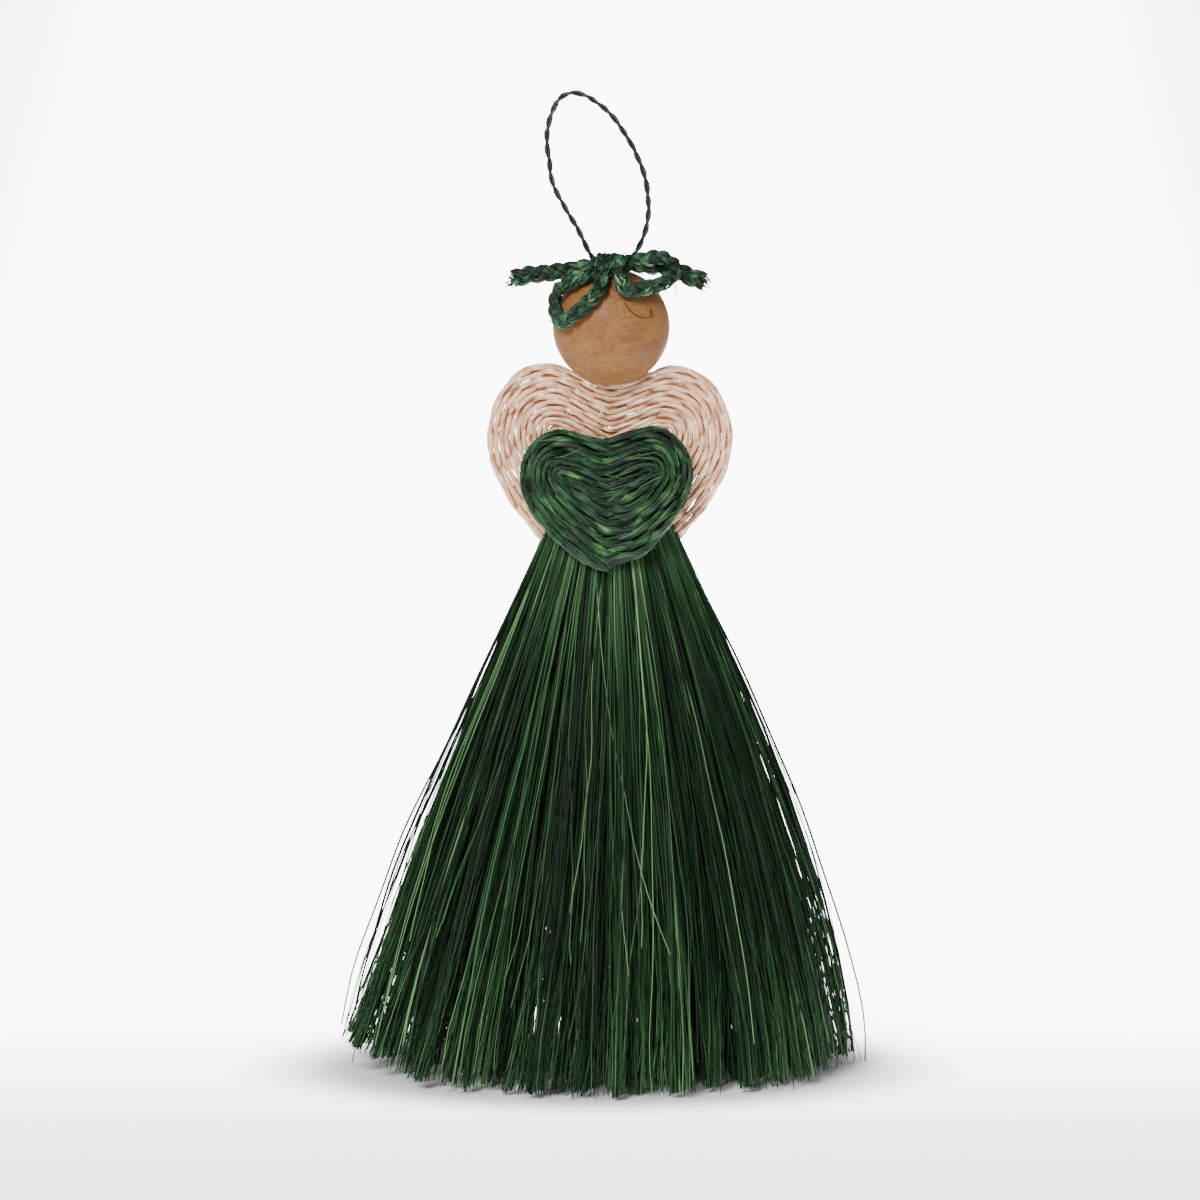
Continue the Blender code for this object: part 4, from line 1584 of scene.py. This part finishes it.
@dataclass
class HangingCord:
    """The hard two-ply cord: up through the bead, round the hanging loop and down again."""

    bead_centre: Vector
    node: str = "hanging_cord"
    slot: str = "twisted_cord"
    diameter: float = 0.0011
    leg_spread: float = 0.0010
    bead_radius: float = 0.0100
    step: float = 0.3 * MM
    yarn: Yarn = Yarn(
        pitch=5.2 * MM, ply_share=0.54, swing=0.46, squareness=0.2, sides=8, groove=0.1, waver=0.12
    )
    tone: float = 0.4
    seed: int = 21

    # Each leg in the bead and behind the wings: back, and the height as in the part's source
    LEG = ((0.00325, 0.1088), (0.00270, 0.11375), (0.00215, 0.1187))

    # Where a leg bends into the bore: back, and up from the bead's middle
    BEND = (0.0012, -0.0090)

    # Route of the loop: right, back and up from the top of the bead
    LOOP = (
        (-0.0016, 0.0000, -0.0004), (-0.0024, 0.0000, 0.0008), (-0.0037, 0.0001, 0.0028),
        (-0.0048, 0.0003, 0.0050), (-0.0059, 0.0004, 0.0072), (-0.0070, 0.0005, 0.0090),
        (-0.0081, 0.0007, 0.0109), (-0.0093, 0.0009, 0.0130), (-0.0102, 0.0010, 0.0153),
        (-0.0106, 0.0011, 0.0178), (-0.0110, 0.0012, 0.0207), (-0.0111, 0.0012, 0.0234),
        (-0.0106, 0.0012, 0.0260), (-0.0097, 0.0012, 0.0283), (-0.0085, 0.0011, 0.0299),
        (-0.0066, 0.0010, 0.0306), (-0.0045, 0.0009, 0.0301), (-0.0024, 0.0007, 0.0289),
        (-0.0005, 0.0005, 0.0273), (0.0012, 0.0003, 0.0253), (0.0030, 0.0001, 0.0225),
        (0.0043, 0.0000, 0.0200), (0.0054, -0.0001, 0.0174), (0.0061, -0.0002, 0.0148),
        (0.0064, -0.0003, 0.0121), (0.0064, -0.0003, 0.0099), (0.0061, -0.0003, 0.0074),
        (0.0052, -0.0002, 0.0049), (0.0039, -0.0001, 0.0024), (0.0027, 0.0000, 0.0009),
        (0.0016, 0.0000, -0.0004),
    )

    def route(self) -> np.ndarray:
        """The cord's middle line, with the points of the part's source."""
        centre = np.array(self.bead_centre)
        leg = [*self.LEG, (self.BEND[0], centre[2] + self.BEND[1]), (0.0, centre[2])]
        left = [(centre[0] - self.leg_spread, y, z) for y, z in leg]
        right = [(centre[0] + self.leg_spread, y, z) for y, z in reversed(leg)]
        loop = centre + np.array([0, 0, self.bead_radius]) + np.array(self.LOOP)
        return smooth_route(np.vstack([left, loop, right]), self.step)

    def build(self, tree: bpy.types.NodeTree, finish: bpy.types.Material) -> None:
        """Args:
            tree: The plied strand tree.
            finish: The cord's material.
        """
        route = self.route()
        side, depth = carried_frames(route, self.diameter / 2)
        line = Line(route, side, depth, np.ones(len(route)), self.tone)
        cord = self.yarn.wound("twisted_cord", [line], tree, finish, self.seed)
        put_on(cord, self.node)


@dataclass
class BraidedBow:
    """The flat plait of three strands, tied in a bow on the head."""

    bead_centre: Vector
    node: str = "braided_bow"
    slot: str = "bow_plait"
    bead_radius: float = 0.0100
    loop_width: float = 0.0030
    tail_width: float = 0.0036
    thickness: float = 0.0015
    clear: float = 0.35 * MM
    step: float = 0.35 * MM
    # The plait: its crossings, and each strand's sizes as shares of the plait's
    strands: int = 3
    loop_pitch: float = 6.2 * MM
    tail_pitch: float = 7.2 * MM
    strand_share: float = 0.52
    depth_share: float = 0.50
    strand_depth: float = 0.75
    strand_tone: float = 0.35
    tone_step: float = 0.15
    # How the faces of the loops and the tails follow the bead, to the right and up
    loop_facing: tuple[float, float] = (0.80, 0.30)
    tail_facing: tuple[float, float] = (0.10, 0.10)
    # A loop narrows into the knot, and a tail widens at its cut
    end_share: float = 0.60
    end_length: float = 1.3 * MM
    loose_share: float = 0.12
    loose_length: float = 2.2 * MM
    # The plait's route round the knot, whose middle is in bead radii from the bead's
    knot: tuple[float, float, float] = (-0.02, -0.46, 1.13)
    knot_half: tuple[float, float, float] = (1.69 * MM, 1.16025 * MM, 1.4905 * MM)
    knot_turns: float = 2.15
    knot_points: int = 120
    knot_share: float = 0.42
    yarn: Yarn = Yarn(
        plies=1,
        fibres=12,
        fibre_share=0.26,
        fibre_twist=1.0,
        pitch=30.0 * MM,
        ply_share=0.90,
        swing=0.0,
        squareness=0.2,
        sides=4,
        groove=0.0,
        waver=0.5,
        waver_length=3 * MM,
        tone_spread=2.0,
    )
    hairs: Hairs = Hairs(
        count=140,
        length=(1.5 * MM, 3.5 * MM),
        lift=0.30 * MM,
        spread=0.5 * MM,
        girth=(0.06 * MM, 0.11 * MM),
        tone=(0.3, 1.0),
        front_share=0.6,
    )
    # Loose ends at each strand's cut: their fan and curl are shares of their length
    frays: int = 9
    fray_length: tuple[float, float] = (0.2 * MM, 0.7 * MM)
    fray_root: float = 0.5 * MM
    fray_stretch: float = 1.6
    fray_fan: float = 0.20
    fray_power: float = 1.5
    fray_curl: float = 0.18
    fray_half: tuple[float, float] = (0.10 * MM, 0.18 * MM)
    fray_tone: tuple[float, float] = (0.2, 0.8)
    fray_seat: float = 0.8
    # Long strays: how far from the bead's middle and in front of it they run, in bead radii
    stray_reach: float = 1.03
    stray_front: float = 0.45
    stray_half: float = 0.10 * MM
    stray_tone: float = 0.45
    seed: int = 31

    # Moving a limb clear of the bead: tries, share of the need, points tested, evening out
    PUSHES, PUSH_SHARE, PUSH_SECTIONS, PUSH_PASSES = 3, 1.1, 8, 10

    # Long single fibres in front of the bead: right and up from its centre, in bead radii
    STRAYS = (
        ((0.23, 0.53), (0.35, 0.38), (0.52, 0.27), (0.78, 0.28)),
        ((1.10, 0.79), (1.09, 0.72), (1.07, 0.62), (1.04, 0.54)),
        ((1.10, 0.79), (1.12, 0.72), (1.14, 0.64), (1.16, 0.56)),
        ((-0.89, 0.06), (-0.91, 0.03), (-0.94, 0.00), (-0.96, -0.03)),
        ((-1.00, 1.00), (-1.08, 1.00), (-1.16, 0.92), (-1.14, 0.80)),
        ((1.45, 0.98), (1.56, 1.08), (1.62, 0.98), (1.60, 0.86)),
        ((-1.30, 0.98), (-1.42, 1.04), (-1.50, 1.02), (-1.52, 0.92)),
    )

    # Limbs of the bow: right, back and up from the bead's centre, in bead radii
    LIMBS = {
        "left_loop": (
            (-0.12, -0.40, 1.10), (-0.37, -0.53, 1.03), (-0.57, -0.54, 0.92), (-0.78, -0.48, 0.81),
            (-0.93, -0.38, 0.66), (-0.98, -0.40, 0.46), (-0.94, -0.56, 0.29), (-0.84, -0.75, 0.19),
            (-0.66, -0.89, 0.31), (-0.47, -0.95, 0.48), (-0.30, -0.92, 0.63), (-0.19, -0.82, 0.81),
            (-0.16, -0.68, 1.00), (-0.10, -0.52, 1.15),
        ),
        "right_loop": (
            (0.08, -0.40, 1.16), (0.35, -0.44, 1.19), (0.61, -0.41, 1.24), (0.85, -0.35, 1.26),
            (1.04, -0.32, 1.17), (1.10, -0.37, 1.00), (0.96, -0.47, 0.86), (0.77, -0.58, 0.79),
            (0.56, -0.72, 0.76), (0.35, -0.84, 0.72), (0.23, -0.87, 0.78), (0.17, -0.78, 0.93),
            (0.14, -0.66, 1.04), (0.08, -0.54, 1.16),
        ),
        "left_tail": (
            (-0.05, -0.36, 1.13), (-0.37, -0.35, 1.08), (-0.68, -0.32, 1.03), (-0.99, -0.27, 0.98),
            (-1.32, -0.22, 0.94), (-1.69, -0.17, 0.86),
        ),
        "right_tail": (
            (0.06, -0.34, 1.15), (0.42, -0.28, 1.13), (0.73, -0.22, 1.10), (1.01, -0.14, 1.05),
            (1.25, -0.11, 0.94), (1.44, -0.15, 0.86), (1.60, -0.17, 0.83),
        ),
    }

    def limb_lines(self, name: str, knots: tuple[tuple[float, float, float], ...]) -> list[Line]:
        """Middle lines of the three strands of one limb.

        Args:
            name: The limb's name, which tells a loop from a tail.
            knots: The limb's route in bead radii.

        Returns:
            One line for each strand.
        """
        is_loop = "loop" in name
        centre = np.array(self.bead_centre)
        route = smooth_route(centre + np.array(knots) * self.bead_radius, self.step)
        facing = self.loop_facing if is_loop else self.tail_facing
        width = self.loop_width if is_loop else self.tail_width
        ahead = unit(np.gradient(route, axis=0))
        out = (route - centre) / self.bead_radius
        front = np.stack([out[:, 0] * facing[0], -np.ones(len(out)), out[:, 2] * facing[1]], axis=1)
        side = unit(np.cross(ahead, front))
        normal = np.cross(side, ahead)
        along = arc_lengths(route)
        swell = np.ones(len(route))
        if is_loop:
            near = np.minimum(along, along[-1] - along) / self.end_length
            swell = self.end_share + (1 - self.end_share) * np.clip(near, 0, 1)
        deep = normal * self.thickness / 2
        route = self.pushed(route, side * width / 2, deep, centre)
        pitch = self.loop_pitch if is_loop else self.tail_pitch
        return self.plaited(route, side * (swell * width / 2)[:, None], deep, pitch, not is_loop)

    def pushed(
        self, route: np.ndarray, across: np.ndarray, deep: np.ndarray, centre: np.ndarray
    ) -> np.ndarray:
        """Moves a limb out from the bead until the whole plait is clear of it.

        Args:
            route: The limb's middle line.
            across: Half its width, as a vector, at each point.
            deep: Half its thickness, as a vector, at each point.
            centre: The bead's middle.

        Returns:
            The moved middle line.
        """
        reach = self.bead_radius + self.clear
        turns = np.linspace(0, 2 * math.pi, self.PUSH_SECTIONS + 1)[:-1]
        shift = np.zeros(len(route))
        away = unit(route - centre)
        for _ in range(self.PUSHES):
            moved = route + away * shift[:, None]
            rings = [moved + across * math.cos(turn) + deep * math.sin(turn) for turn in turns]
            nearest = np.min([np.linalg.norm(ring - centre, axis=1) for ring in rings], axis=0)
            shift += np.maximum(0, reach - nearest) * self.PUSH_SHARE
        return route + away * softened(shift[:, None], self.PUSH_PASSES)

    def plaited(
        self, route: np.ndarray, across: np.ndarray, deep: np.ndarray, pitch: float, frays: bool
    ) -> list[Line]:
        """Three strands that cross in turn along a line.

        Args:
            route: The plait's middle line.
            across: Half its width, as a vector, at each point.
            deep: Half its thickness, as a vector, at each point.
            pitch: Length in which a strand goes from one edge to the other and back.
            frays: Whether the far end spreads a little.

        Returns:
            One line for each strand.
        """
        along = arc_lengths(route)
        made = []
        for k in range(self.strands):
            phase = 2 * math.pi * (along / pitch + k / self.strands)
            wide = np.sin(phase)[:, None] * (1 - self.strand_share)
            thick = np.sin(2 * phase)[:, None] * self.depth_share
            loosen = np.ones(len(route))
            if frays:
                end = np.clip((along - along[-1] + self.loose_length) / self.loose_length, 0, 1)
                loosen = 1 + self.loose_share * end
            points = route + across * wide * loosen[:, None] + deep * thick
            ahead = unit(np.gradient(points, axis=0))
            depth = unit(deep)
            half_width = np.linalg.norm(across, axis=1, keepdims=True) * self.strand_share
            half_depth = np.linalg.norm(deep, axis=1, keepdims=True) * self.strand_depth
            aside = unit(np.cross(depth, ahead)) * half_width
            tone = self.strand_tone + self.tone_step * k
            made.append(Line(points, aside, depth * half_depth, np.ones(len(points)), tone))
        return made

    def knot_lines(self) -> list[Line]:
        """Strands of the plait where it goes round the crossing of the limbs."""
        middle = np.array(self.bead_centre) + np.array(self.knot) * self.bead_radius
        turn = np.linspace(0, 2 * math.pi * self.knot_turns, self.knot_points)
        round_it = np.stack([np.linspace(-1, 1, len(turn)), -np.cos(turn), np.sin(turn)], axis=1)
        route = middle + round_it * self.knot_half
        out = route - middle
        out[:, 0] = 0
        out = unit(out)
        side = unit(np.cross(unit(np.gradient(route, axis=0)), out))
        across, deep = side * self.loop_width * self.knot_share, out * self.thickness * self.knot_share
        return self.plaited(route, across, deep, self.loop_pitch, False)

    def frayed(self, lines: list[Line], rng: np.random.Generator) -> Fibres:
        """Loose fibre ends that fan out where a tail is cut.

        Args:
            lines: The strands of the tails, which end at the cut.
            rng: Source of chance.

        Returns:
            The fibre ends.
        """
        made = []
        count, seat = self.frays, self.fray_seat
        back = max(2, round(self.fray_length[1] / self.step))
        for line in lines:
            ahead = unit(line.points[-1] - line.points[-back])
            root = line.points[-back] + rng.uniform(-seat, seat, (count, 1)) * line.across[-1]
            root = root + rng.uniform(-seat, seat, (count, 1)) * line.deep[-1]
            length = rng.uniform(*self.fray_length, count)[:, None] + self.fray_root
            fan = rng.normal(0, self.fray_fan, (count, 3)) * length
            curl = rng.normal(0, self.fray_curl, (count, 3)) * length
            stops = [
                root
                + ahead * length * share * self.fray_stretch
                + fan * share**self.fray_power
                + curl * math.sin(math.pi * share)
                for share in THIRDS
            ]
            girth = rng.uniform(*self.fray_half, count)
            made.append(Fibres.through(stops, girth, rng.uniform(*self.fray_tone, count)))
        return functools.reduce(Fibres.joined, made)

    def strays(self) -> Fibres:
        """The long single fibres that have come out of the plait over the bead."""
        centre = np.array(self.bead_centre)
        paths = []
        for stray in self.STRAYS:
            path = []
            for right, up in stray:
                out = math.sqrt(max(0.0, self.stray_reach**2 - right**2 - up**2))
                path.append(centre + np.array([right, -max(out, self.stray_front), up]) * self.bead_radius)
            paths.append(path)
        return lone_fibres(np.array(paths), self.stray_half, self.stray_tone)

    def build(self, trees: Trees, finish: bpy.types.Material) -> None:
        """Plaits and ties the bow.

        Args:
            trees: The two trees.
            finish: The plait's material.
        """
        rng = np.random.default_rng(self.seed)
        limbs = {name: self.limb_lines(name, knots) for name, knots in self.LIMBS.items()}
        lines = [line for strands in limbs.values() for line in strands]
        tails = limbs["left_tail"] + limbs["right_tail"]
        knot = self.knot_lines()
        bow = self.yarn.wound("plaited_bow", lines + knot, trees.strand, finish, self.seed)
        put_on(bow, self.node)
        hairs = self.hairs.over(lines + knot, rng).joined(self.frayed(tails, rng)).joined(self.strays())
        put_on(hairs.drawn("bow_hairs", trees.fibres, rng, finish, FibreCut()), self.node)


@dataclass(frozen=True)
class Overlay:
    """A set of single fibres that run down over the skirt's outside.

    Args:
        count: How many.
        drift: How far a fibre may turn round the skirt on its way, as an angle.
        low: Highest share of the height at which a fibre ends.
        half: Least and greatest half width.
        tone: Darkest and lightest shade.
    """

    count: int
    drift: float
    low: float
    half: tuple[float, float]
    tone: tuple[float, float]


@dataclass
class FibreSkirt:
    """The bundle of stiff fibres, in tufts that open towards the hem."""

    shape: SkirtShape
    node: str = "fibre_skirt"
    slot: str = "skirt_fibre"
    tufts: int = 150
    fibres: int = 5300
    # Some of the fibres lie on the outside: their reach at the gather and the hem, in half sizes
    skin: int = 700
    skin_gather: tuple[float, float] = (0.7, 1.0)
    skin_reach: tuple[float, float] = (0.82, 1.03)
    skin_drift: float = 0.08
    seed: int = 5
    # The tufts: their places, their fullness in the middle, at the rim and at the sides, their spread
    middle_scatter: float = 0.018
    tuft_weight: tuple[float, float] = (0.6, 1.4)
    outer_weight: tuple[float, float, float] = (0.30, 0.9, 0.35)
    gather_scatter: float = 0.7
    tuft_spread: float = 0.0118
    tuft_range: tuple[float, float] = (0.7, 1.6)
    # Fibres that leave their tuft, and fibres that pass the rim and are pulled back inside it
    free_share: float = 0.14
    free_spread: float = 0.050
    rim_pull: float = 0.25
    rim_scatter: float = 0.02
    # How tufts and single fibres bend on their way, and how they open down the height
    tuft_bow: float = 0.020
    own_bow: float = 0.018
    bow_share: float = 1.1
    open_power: float = 0.8
    # The fibres' upper ends, and the hem: whole tufts and single fibres are cut unevenly
    gather_uneven: tuple[float, float] = (-1.0 * MM, 0.9 * MM)
    hem_gap: float = 0.1 * MM
    uneven_hem: float = 1.3 * MM
    tuft_cut: float = 0.5
    ragged: tuple[float, float] = (1.2, 2.6)
    # The rise of the hem grows with these powers of the turn to the side and of the reach
    lift_powers: tuple[int, int] = (4, 3)
    wing_clear: float = 1.75 * MM
    # Half widths of the fine fibres and of the broad blades among them
    half_widths: tuple[float, float] = (0.075 * MM, 0.14 * MM)
    blade_share: float = 0.10
    blade_half: tuple[float, float] = (0.20 * MM, 0.32 * MM)
    # Mean shade, and how much the tufts and the single fibres differ from it
    tone: float = 0.45
    tone_scatter: tuple[float, float] = (0.07, 0.17)
    # Outer fibres: where they begin and end, and their reach at four heights in half sizes
    top: float = 0.97
    end_power: float = 1.5
    ribbons: Overlay = Overlay(
        count=150, drift=0.03, low=0.35, half=(0.26 * MM, 0.44 * MM), tone=(0.32, 0.66)
    )
    ribbon_reach: tuple[float, ...] = (1.0, 0.97, 0.88, 0.75)
    loose: Overlay = Overlay(
        count=80, drift=0.18, low=0.45, half=(0.07 * MM, 0.13 * MM), tone=(0.55, 1.05)
    )
    loose_reach: tuple[float, ...] = (0.97, 1.0, 1.01, 1.01)
    flyaways: Overlay = Overlay(
        count=38, drift=0.05, low=0.30, half=(0.18 * MM, 0.27 * MM), tone=(0.0, 0.4)
    )
    flyaway_start: float = 0.95
    flyaway_reach: tuple[float, float] = (1.00, 1.08)
    flyaway_swell: float = 0.02
    body_cut: FibreCut = FibreCut(
        points_along=12, sides=3, flatness=0.60, taper=0.15, wiggle=5.5 * MM, waves=3.0, seed=5
    )
    ribbon_cut: FibreCut = FibreCut(
        points_along=16, sides=6, flatness=0.35, taper=0.85, wiggle=2.0 * MM, waves=3.0, seed=5
    )
    loose_cut: FibreCut = FibreCut(
        points_along=24, sides=4, flatness=0.7, taper=0.4, wiggle=7.0 * MM, waves=2.5, seed=5
    )

    def disk(self, rng: np.random.Generator) -> tuple[np.ndarray, np.ndarray, np.ndarray]:
        """Chooses each fibre's place in the bundle.

        Args:
            rng: Source of chance.

        Returns:
            The tuft of each fibre, and its place at the gather and at the hem.
        """
        number = np.arange(self.tufts)
        reach = np.sqrt((number + 0.5) / self.tufts)
        angle = GOLDEN_ANGLE * number
        middles = np.stack([reach * np.cos(angle), reach * np.sin(angle)], axis=1)
        middles += rng.normal(0, self.middle_scatter, middles.shape)
        least, rim, sides = self.outer_weight
        outer = least + rim * reach**2 + sides * np.abs(middles[:, 0])
        weight = rng.uniform(*self.tuft_weight, self.tufts) * outer
        tuft = rng.choice(self.tufts, self.fibres, p=weight / weight.sum())
        cell = 1 / math.sqrt(self.tufts)
        gather = middles[tuft] + rng.normal(0, cell * self.gather_scatter, (self.fibres, 2))
        spread = self.tuft_spread * rng.uniform(*self.tuft_range, self.tufts)[tuft]
        spread = np.where(rng.random(self.fibres) < self.free_share, self.free_spread, spread)
        hem = middles[tuft] + rng.normal(0, 1, (self.fibres, 2)) * spread[:, None]
        around = rng.uniform(0, 2 * math.pi, self.skin)
        aside = around + rng.normal(0, self.skin_drift, self.skin)
        outwards = np.stack([np.cos(around), np.sin(around)], axis=1)
        down = np.stack([np.cos(aside), np.sin(aside)], axis=1)
        for places in (gather, hem):
            size = np.linalg.norm(places, axis=1)
            over = size > 1
            pull = self.rim_pull * (size[over] - 1)
            kept = 1 - pull - self.rim_scatter * rng.random(over.sum())
            places[over] *= kept[:, None] / size[over, None]
        gather[: self.skin] = outwards * rng.uniform(*self.skin_gather, (self.skin, 1))
        hem[: self.skin] = down * rng.uniform(*self.skin_reach, (self.skin, 1))
        return tuft, gather, hem

    def hem_lift(self, hem: np.ndarray) -> np.ndarray:
        """How far the fibres' tips are off the floor where the hem rises to the left and right."""
        angle = np.arctan2(hem[:, 1], hem[:, 0])
        size = np.minimum(1, np.linalg.norm(hem, axis=1))
        lift = np.where(np.cos(angle) > 0, self.shape.right_lift, self.shape.left_lift)
        turn_power, reach_power = self.lift_powers
        return lift * np.cos(angle) ** turn_power * size**reach_power

    def fibres_of(self, rng: np.random.Generator) -> Fibres:
        """Lays all the fibres from the gather to the hem.

        Args:
            rng: Source of chance.

        Returns:
            The fibres.
        """
        tuft, gather, hem = self.disk(rng)
        count = self.fibres
        bow = rng.normal(0, self.tuft_bow, (self.tufts, 2))[tuft]
        bow = bow + rng.normal(0, self.own_bow, (count, 2))
        stops = []
        for low in THIRDS:
            mix = low**self.open_power
            disk = gather * (1 - mix) + hem * mix + bow * math.sin(math.pi * low) * self.bow_share
            stops.append(self.shape.place(disk, np.full(count, 1 - low)))
        gathered, tips = stops[0], stops[3]
        near = np.where(gathered[:, 1] < 0, -1.0, 1.0)
        half = self.shape.gather_depth / 2
        pressed = np.abs(gathered[:, 1]) * (half - self.wing_clear) / half
        gathered[:, 1] = near * (self.wing_clear + pressed)
        gathered[:, 2] += rng.uniform(*self.gather_uneven, count)
        tuft_step = rng.uniform(0, self.tuft_cut, self.tufts)[tuft] * self.uneven_hem
        ragged = rng.beta(*self.ragged, count) * self.uneven_hem
        tips[:, 2] = self.hem_gap + self.hem_lift(hem) + tuft_step + ragged
        blade = rng.random(count) < self.blade_share
        broad = rng.uniform(*self.blade_half, count)
        girth = np.where(blade, broad, rng.uniform(*self.half_widths, count))
        of_tuft, of_fibre = self.tone_scatter
        tone = self.tone + rng.normal(0, of_tuft, self.tufts)[tuft] + rng.normal(0, of_fibre, count)
        return Fibres.through(stops, girth, np.clip(tone, 0.0, 1.0))

    def on_surface(
        self, kind: Overlay, reach: tuple[float | np.ndarray, ...], rng: np.random.Generator
    ) -> Fibres:
        """Lays fibres that run down over the outside.

        Args:
            kind: The set of fibres.
            reach: Share of the skirt's half size at each of the four places of a fibre.
            rng: Source of chance.

        Returns:
            The fibres.
        """
        angle = rng.uniform(0, 2 * math.pi, kind.count)
        turn = rng.normal(0, kind.drift, kind.count)
        end = rng.uniform(0.0, kind.low, kind.count) ** self.end_power
        stops = []
        for share, size in zip(THIRDS, reach):
            at = angle + turn * share
            disk = np.stack([np.cos(at), np.sin(at)], axis=1) * size
            stops.append(self.shape.place(disk, self.top * (1 - share) + end * share))
        girth = rng.uniform(*kind.half, kind.count)
        return Fibres.through(stops, girth, rng.uniform(*kind.tone, kind.count))

    def loose_fibres(self, rng: np.random.Generator) -> Fibres:
        """Lays the light single fibres on the surface, and the thin dark ones that stand off it.

        Args:
            rng: Source of chance.

        Returns:
            Both sets.
        """
        light = self.on_surface(self.loose, self.loose_reach, rng)
        size = rng.uniform(*self.flyaway_reach, self.flyaways.count)[:, None]
        swell = self.flyaway_swell
        reach = (self.flyaway_start, (1 + size) / 2 + swell, size + swell, size)
        return light.joined(self.on_surface(self.flyaways, reach, rng))

    def build(self, trees: Trees, finish: bpy.types.Material) -> None:
        """Draws the skirt in four quarters, and the ribbons and loose fibres over them.

        Args:
            trees: The two trees.
            finish: The fibre's material.
        """
        rng = np.random.default_rng(self.seed)
        fibres = self.fibres_of(rng)
        right, front = fibres.tip[:, 0] > 0, fibres.tip[:, 1] < 0
        quarters = {
            "front_left": front & ~right,
            "front_right": front & right,
            "back_left": ~front & ~right,
            "back_right": ~front & right,
        }
        for name, which in quarters.items():
            quarter = fibres.chosen(which)
            piece = quarter.drawn(f"skirt_fibres_{name}", trees.fibres, rng, finish, self.body_cut)
            put_on(piece, self.node)
        ribbons = self.on_surface(self.ribbons, self.ribbon_reach, rng)
        piece = ribbons.drawn("skirt_ribbons", trees.fibres, rng, finish, self.ribbon_cut)
        put_on(piece, self.node)
        loose = self.loose_fibres(rng)
        piece = loose.drawn("skirt_loose_fibres", trees.fibres, rng, finish, self.loose_cut)
        put_on(piece, self.node)


# Dyed fibres of the skirt, the bodice, the bow and the cord, and the bleached ones of the wings
SKIRT_FIBRE = PlantFibre(
    "dyed_abaca_skirt",
    gaps="#030904",
    shade="#0A190B",
    body="#132D16",
    light="#2A4E2C",
    glint="#648C58",
    specular=0.18,
    # painted light towards the skirt fibres' ends and painted shade at their middles
    painted_light_at_ends=0.74,
    streaks=2.0,
    streak_length=0.25,
    patch_length=0.30,
    relief=0.02 * MM,
    tone_weight=0.9,
    patch_weight=0.35,
    streak_weight=0.2,
)
BODICE_YARN = PlantFibre(
    "dyed_abaca_yarn",
    gaps="#030905",
    shade="#091D0F",
    body="#14391F",
    light="#2C5C34",
    glint="#74984C",
    patch_length=8 * MM,
    streak_length=12 * MM,
    tone_weight=0.8,
)
BOW_PLAIT = PlantFibre(
    "dyed_abaca_plait",
    gaps="#030804",
    shade="#07190D",
    body="#10321C",
    light="#28583A",
    glint="#7FA070",
    tone_weight=0.7,
)
CORD_PLY = PlantFibre(
    "dyed_abaca_cord",
    gaps="#020704",
    shade="#07180C",
    body="#0F2E1A",
    light="#245032",
    glint="#5E8A58",
    roughness=0.38,
)
WING_YARN = PlantFibre(
    "bleached_abaca_yarn",
    gaps="#84502C",
    shade="#CC946A",
    body="#F4C7A2",
    light="#FFE7D2",
    glint="#FFFFFF",
    roughness=0.24,
    relief=0.025 * MM,
    specular=1.0,
)


def main() -> None:
    """Builds the camera, the cord and then the other pieces, from the head down."""
    logging.basicConfig(level=logging.INFO, format="%(name)s: %(message)s")
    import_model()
    studio = Studio()
    studio.camera()
    trees = Trees(PliedStrand().build(), FibreBundle().build())
    bead = HeadBead()
    HangingCord(bead.centre()).build(trees.strand, CORD_PLY.material())
    studio.lights()
    studio.floor()
    bead.build()
    BraidedBow(bead.centre()).build(trees, BOW_PLAIT.material())
    WingHeart().build(trees, WING_YARN.material())
    skirt = SkirtShape()
    BodiceHeart(skirt).build(trees, BODICE_YARN.material())
    FibreSkirt(skirt).build(trees, SKIRT_FIBRE.material())


if __name__ == "__main__":
    main()
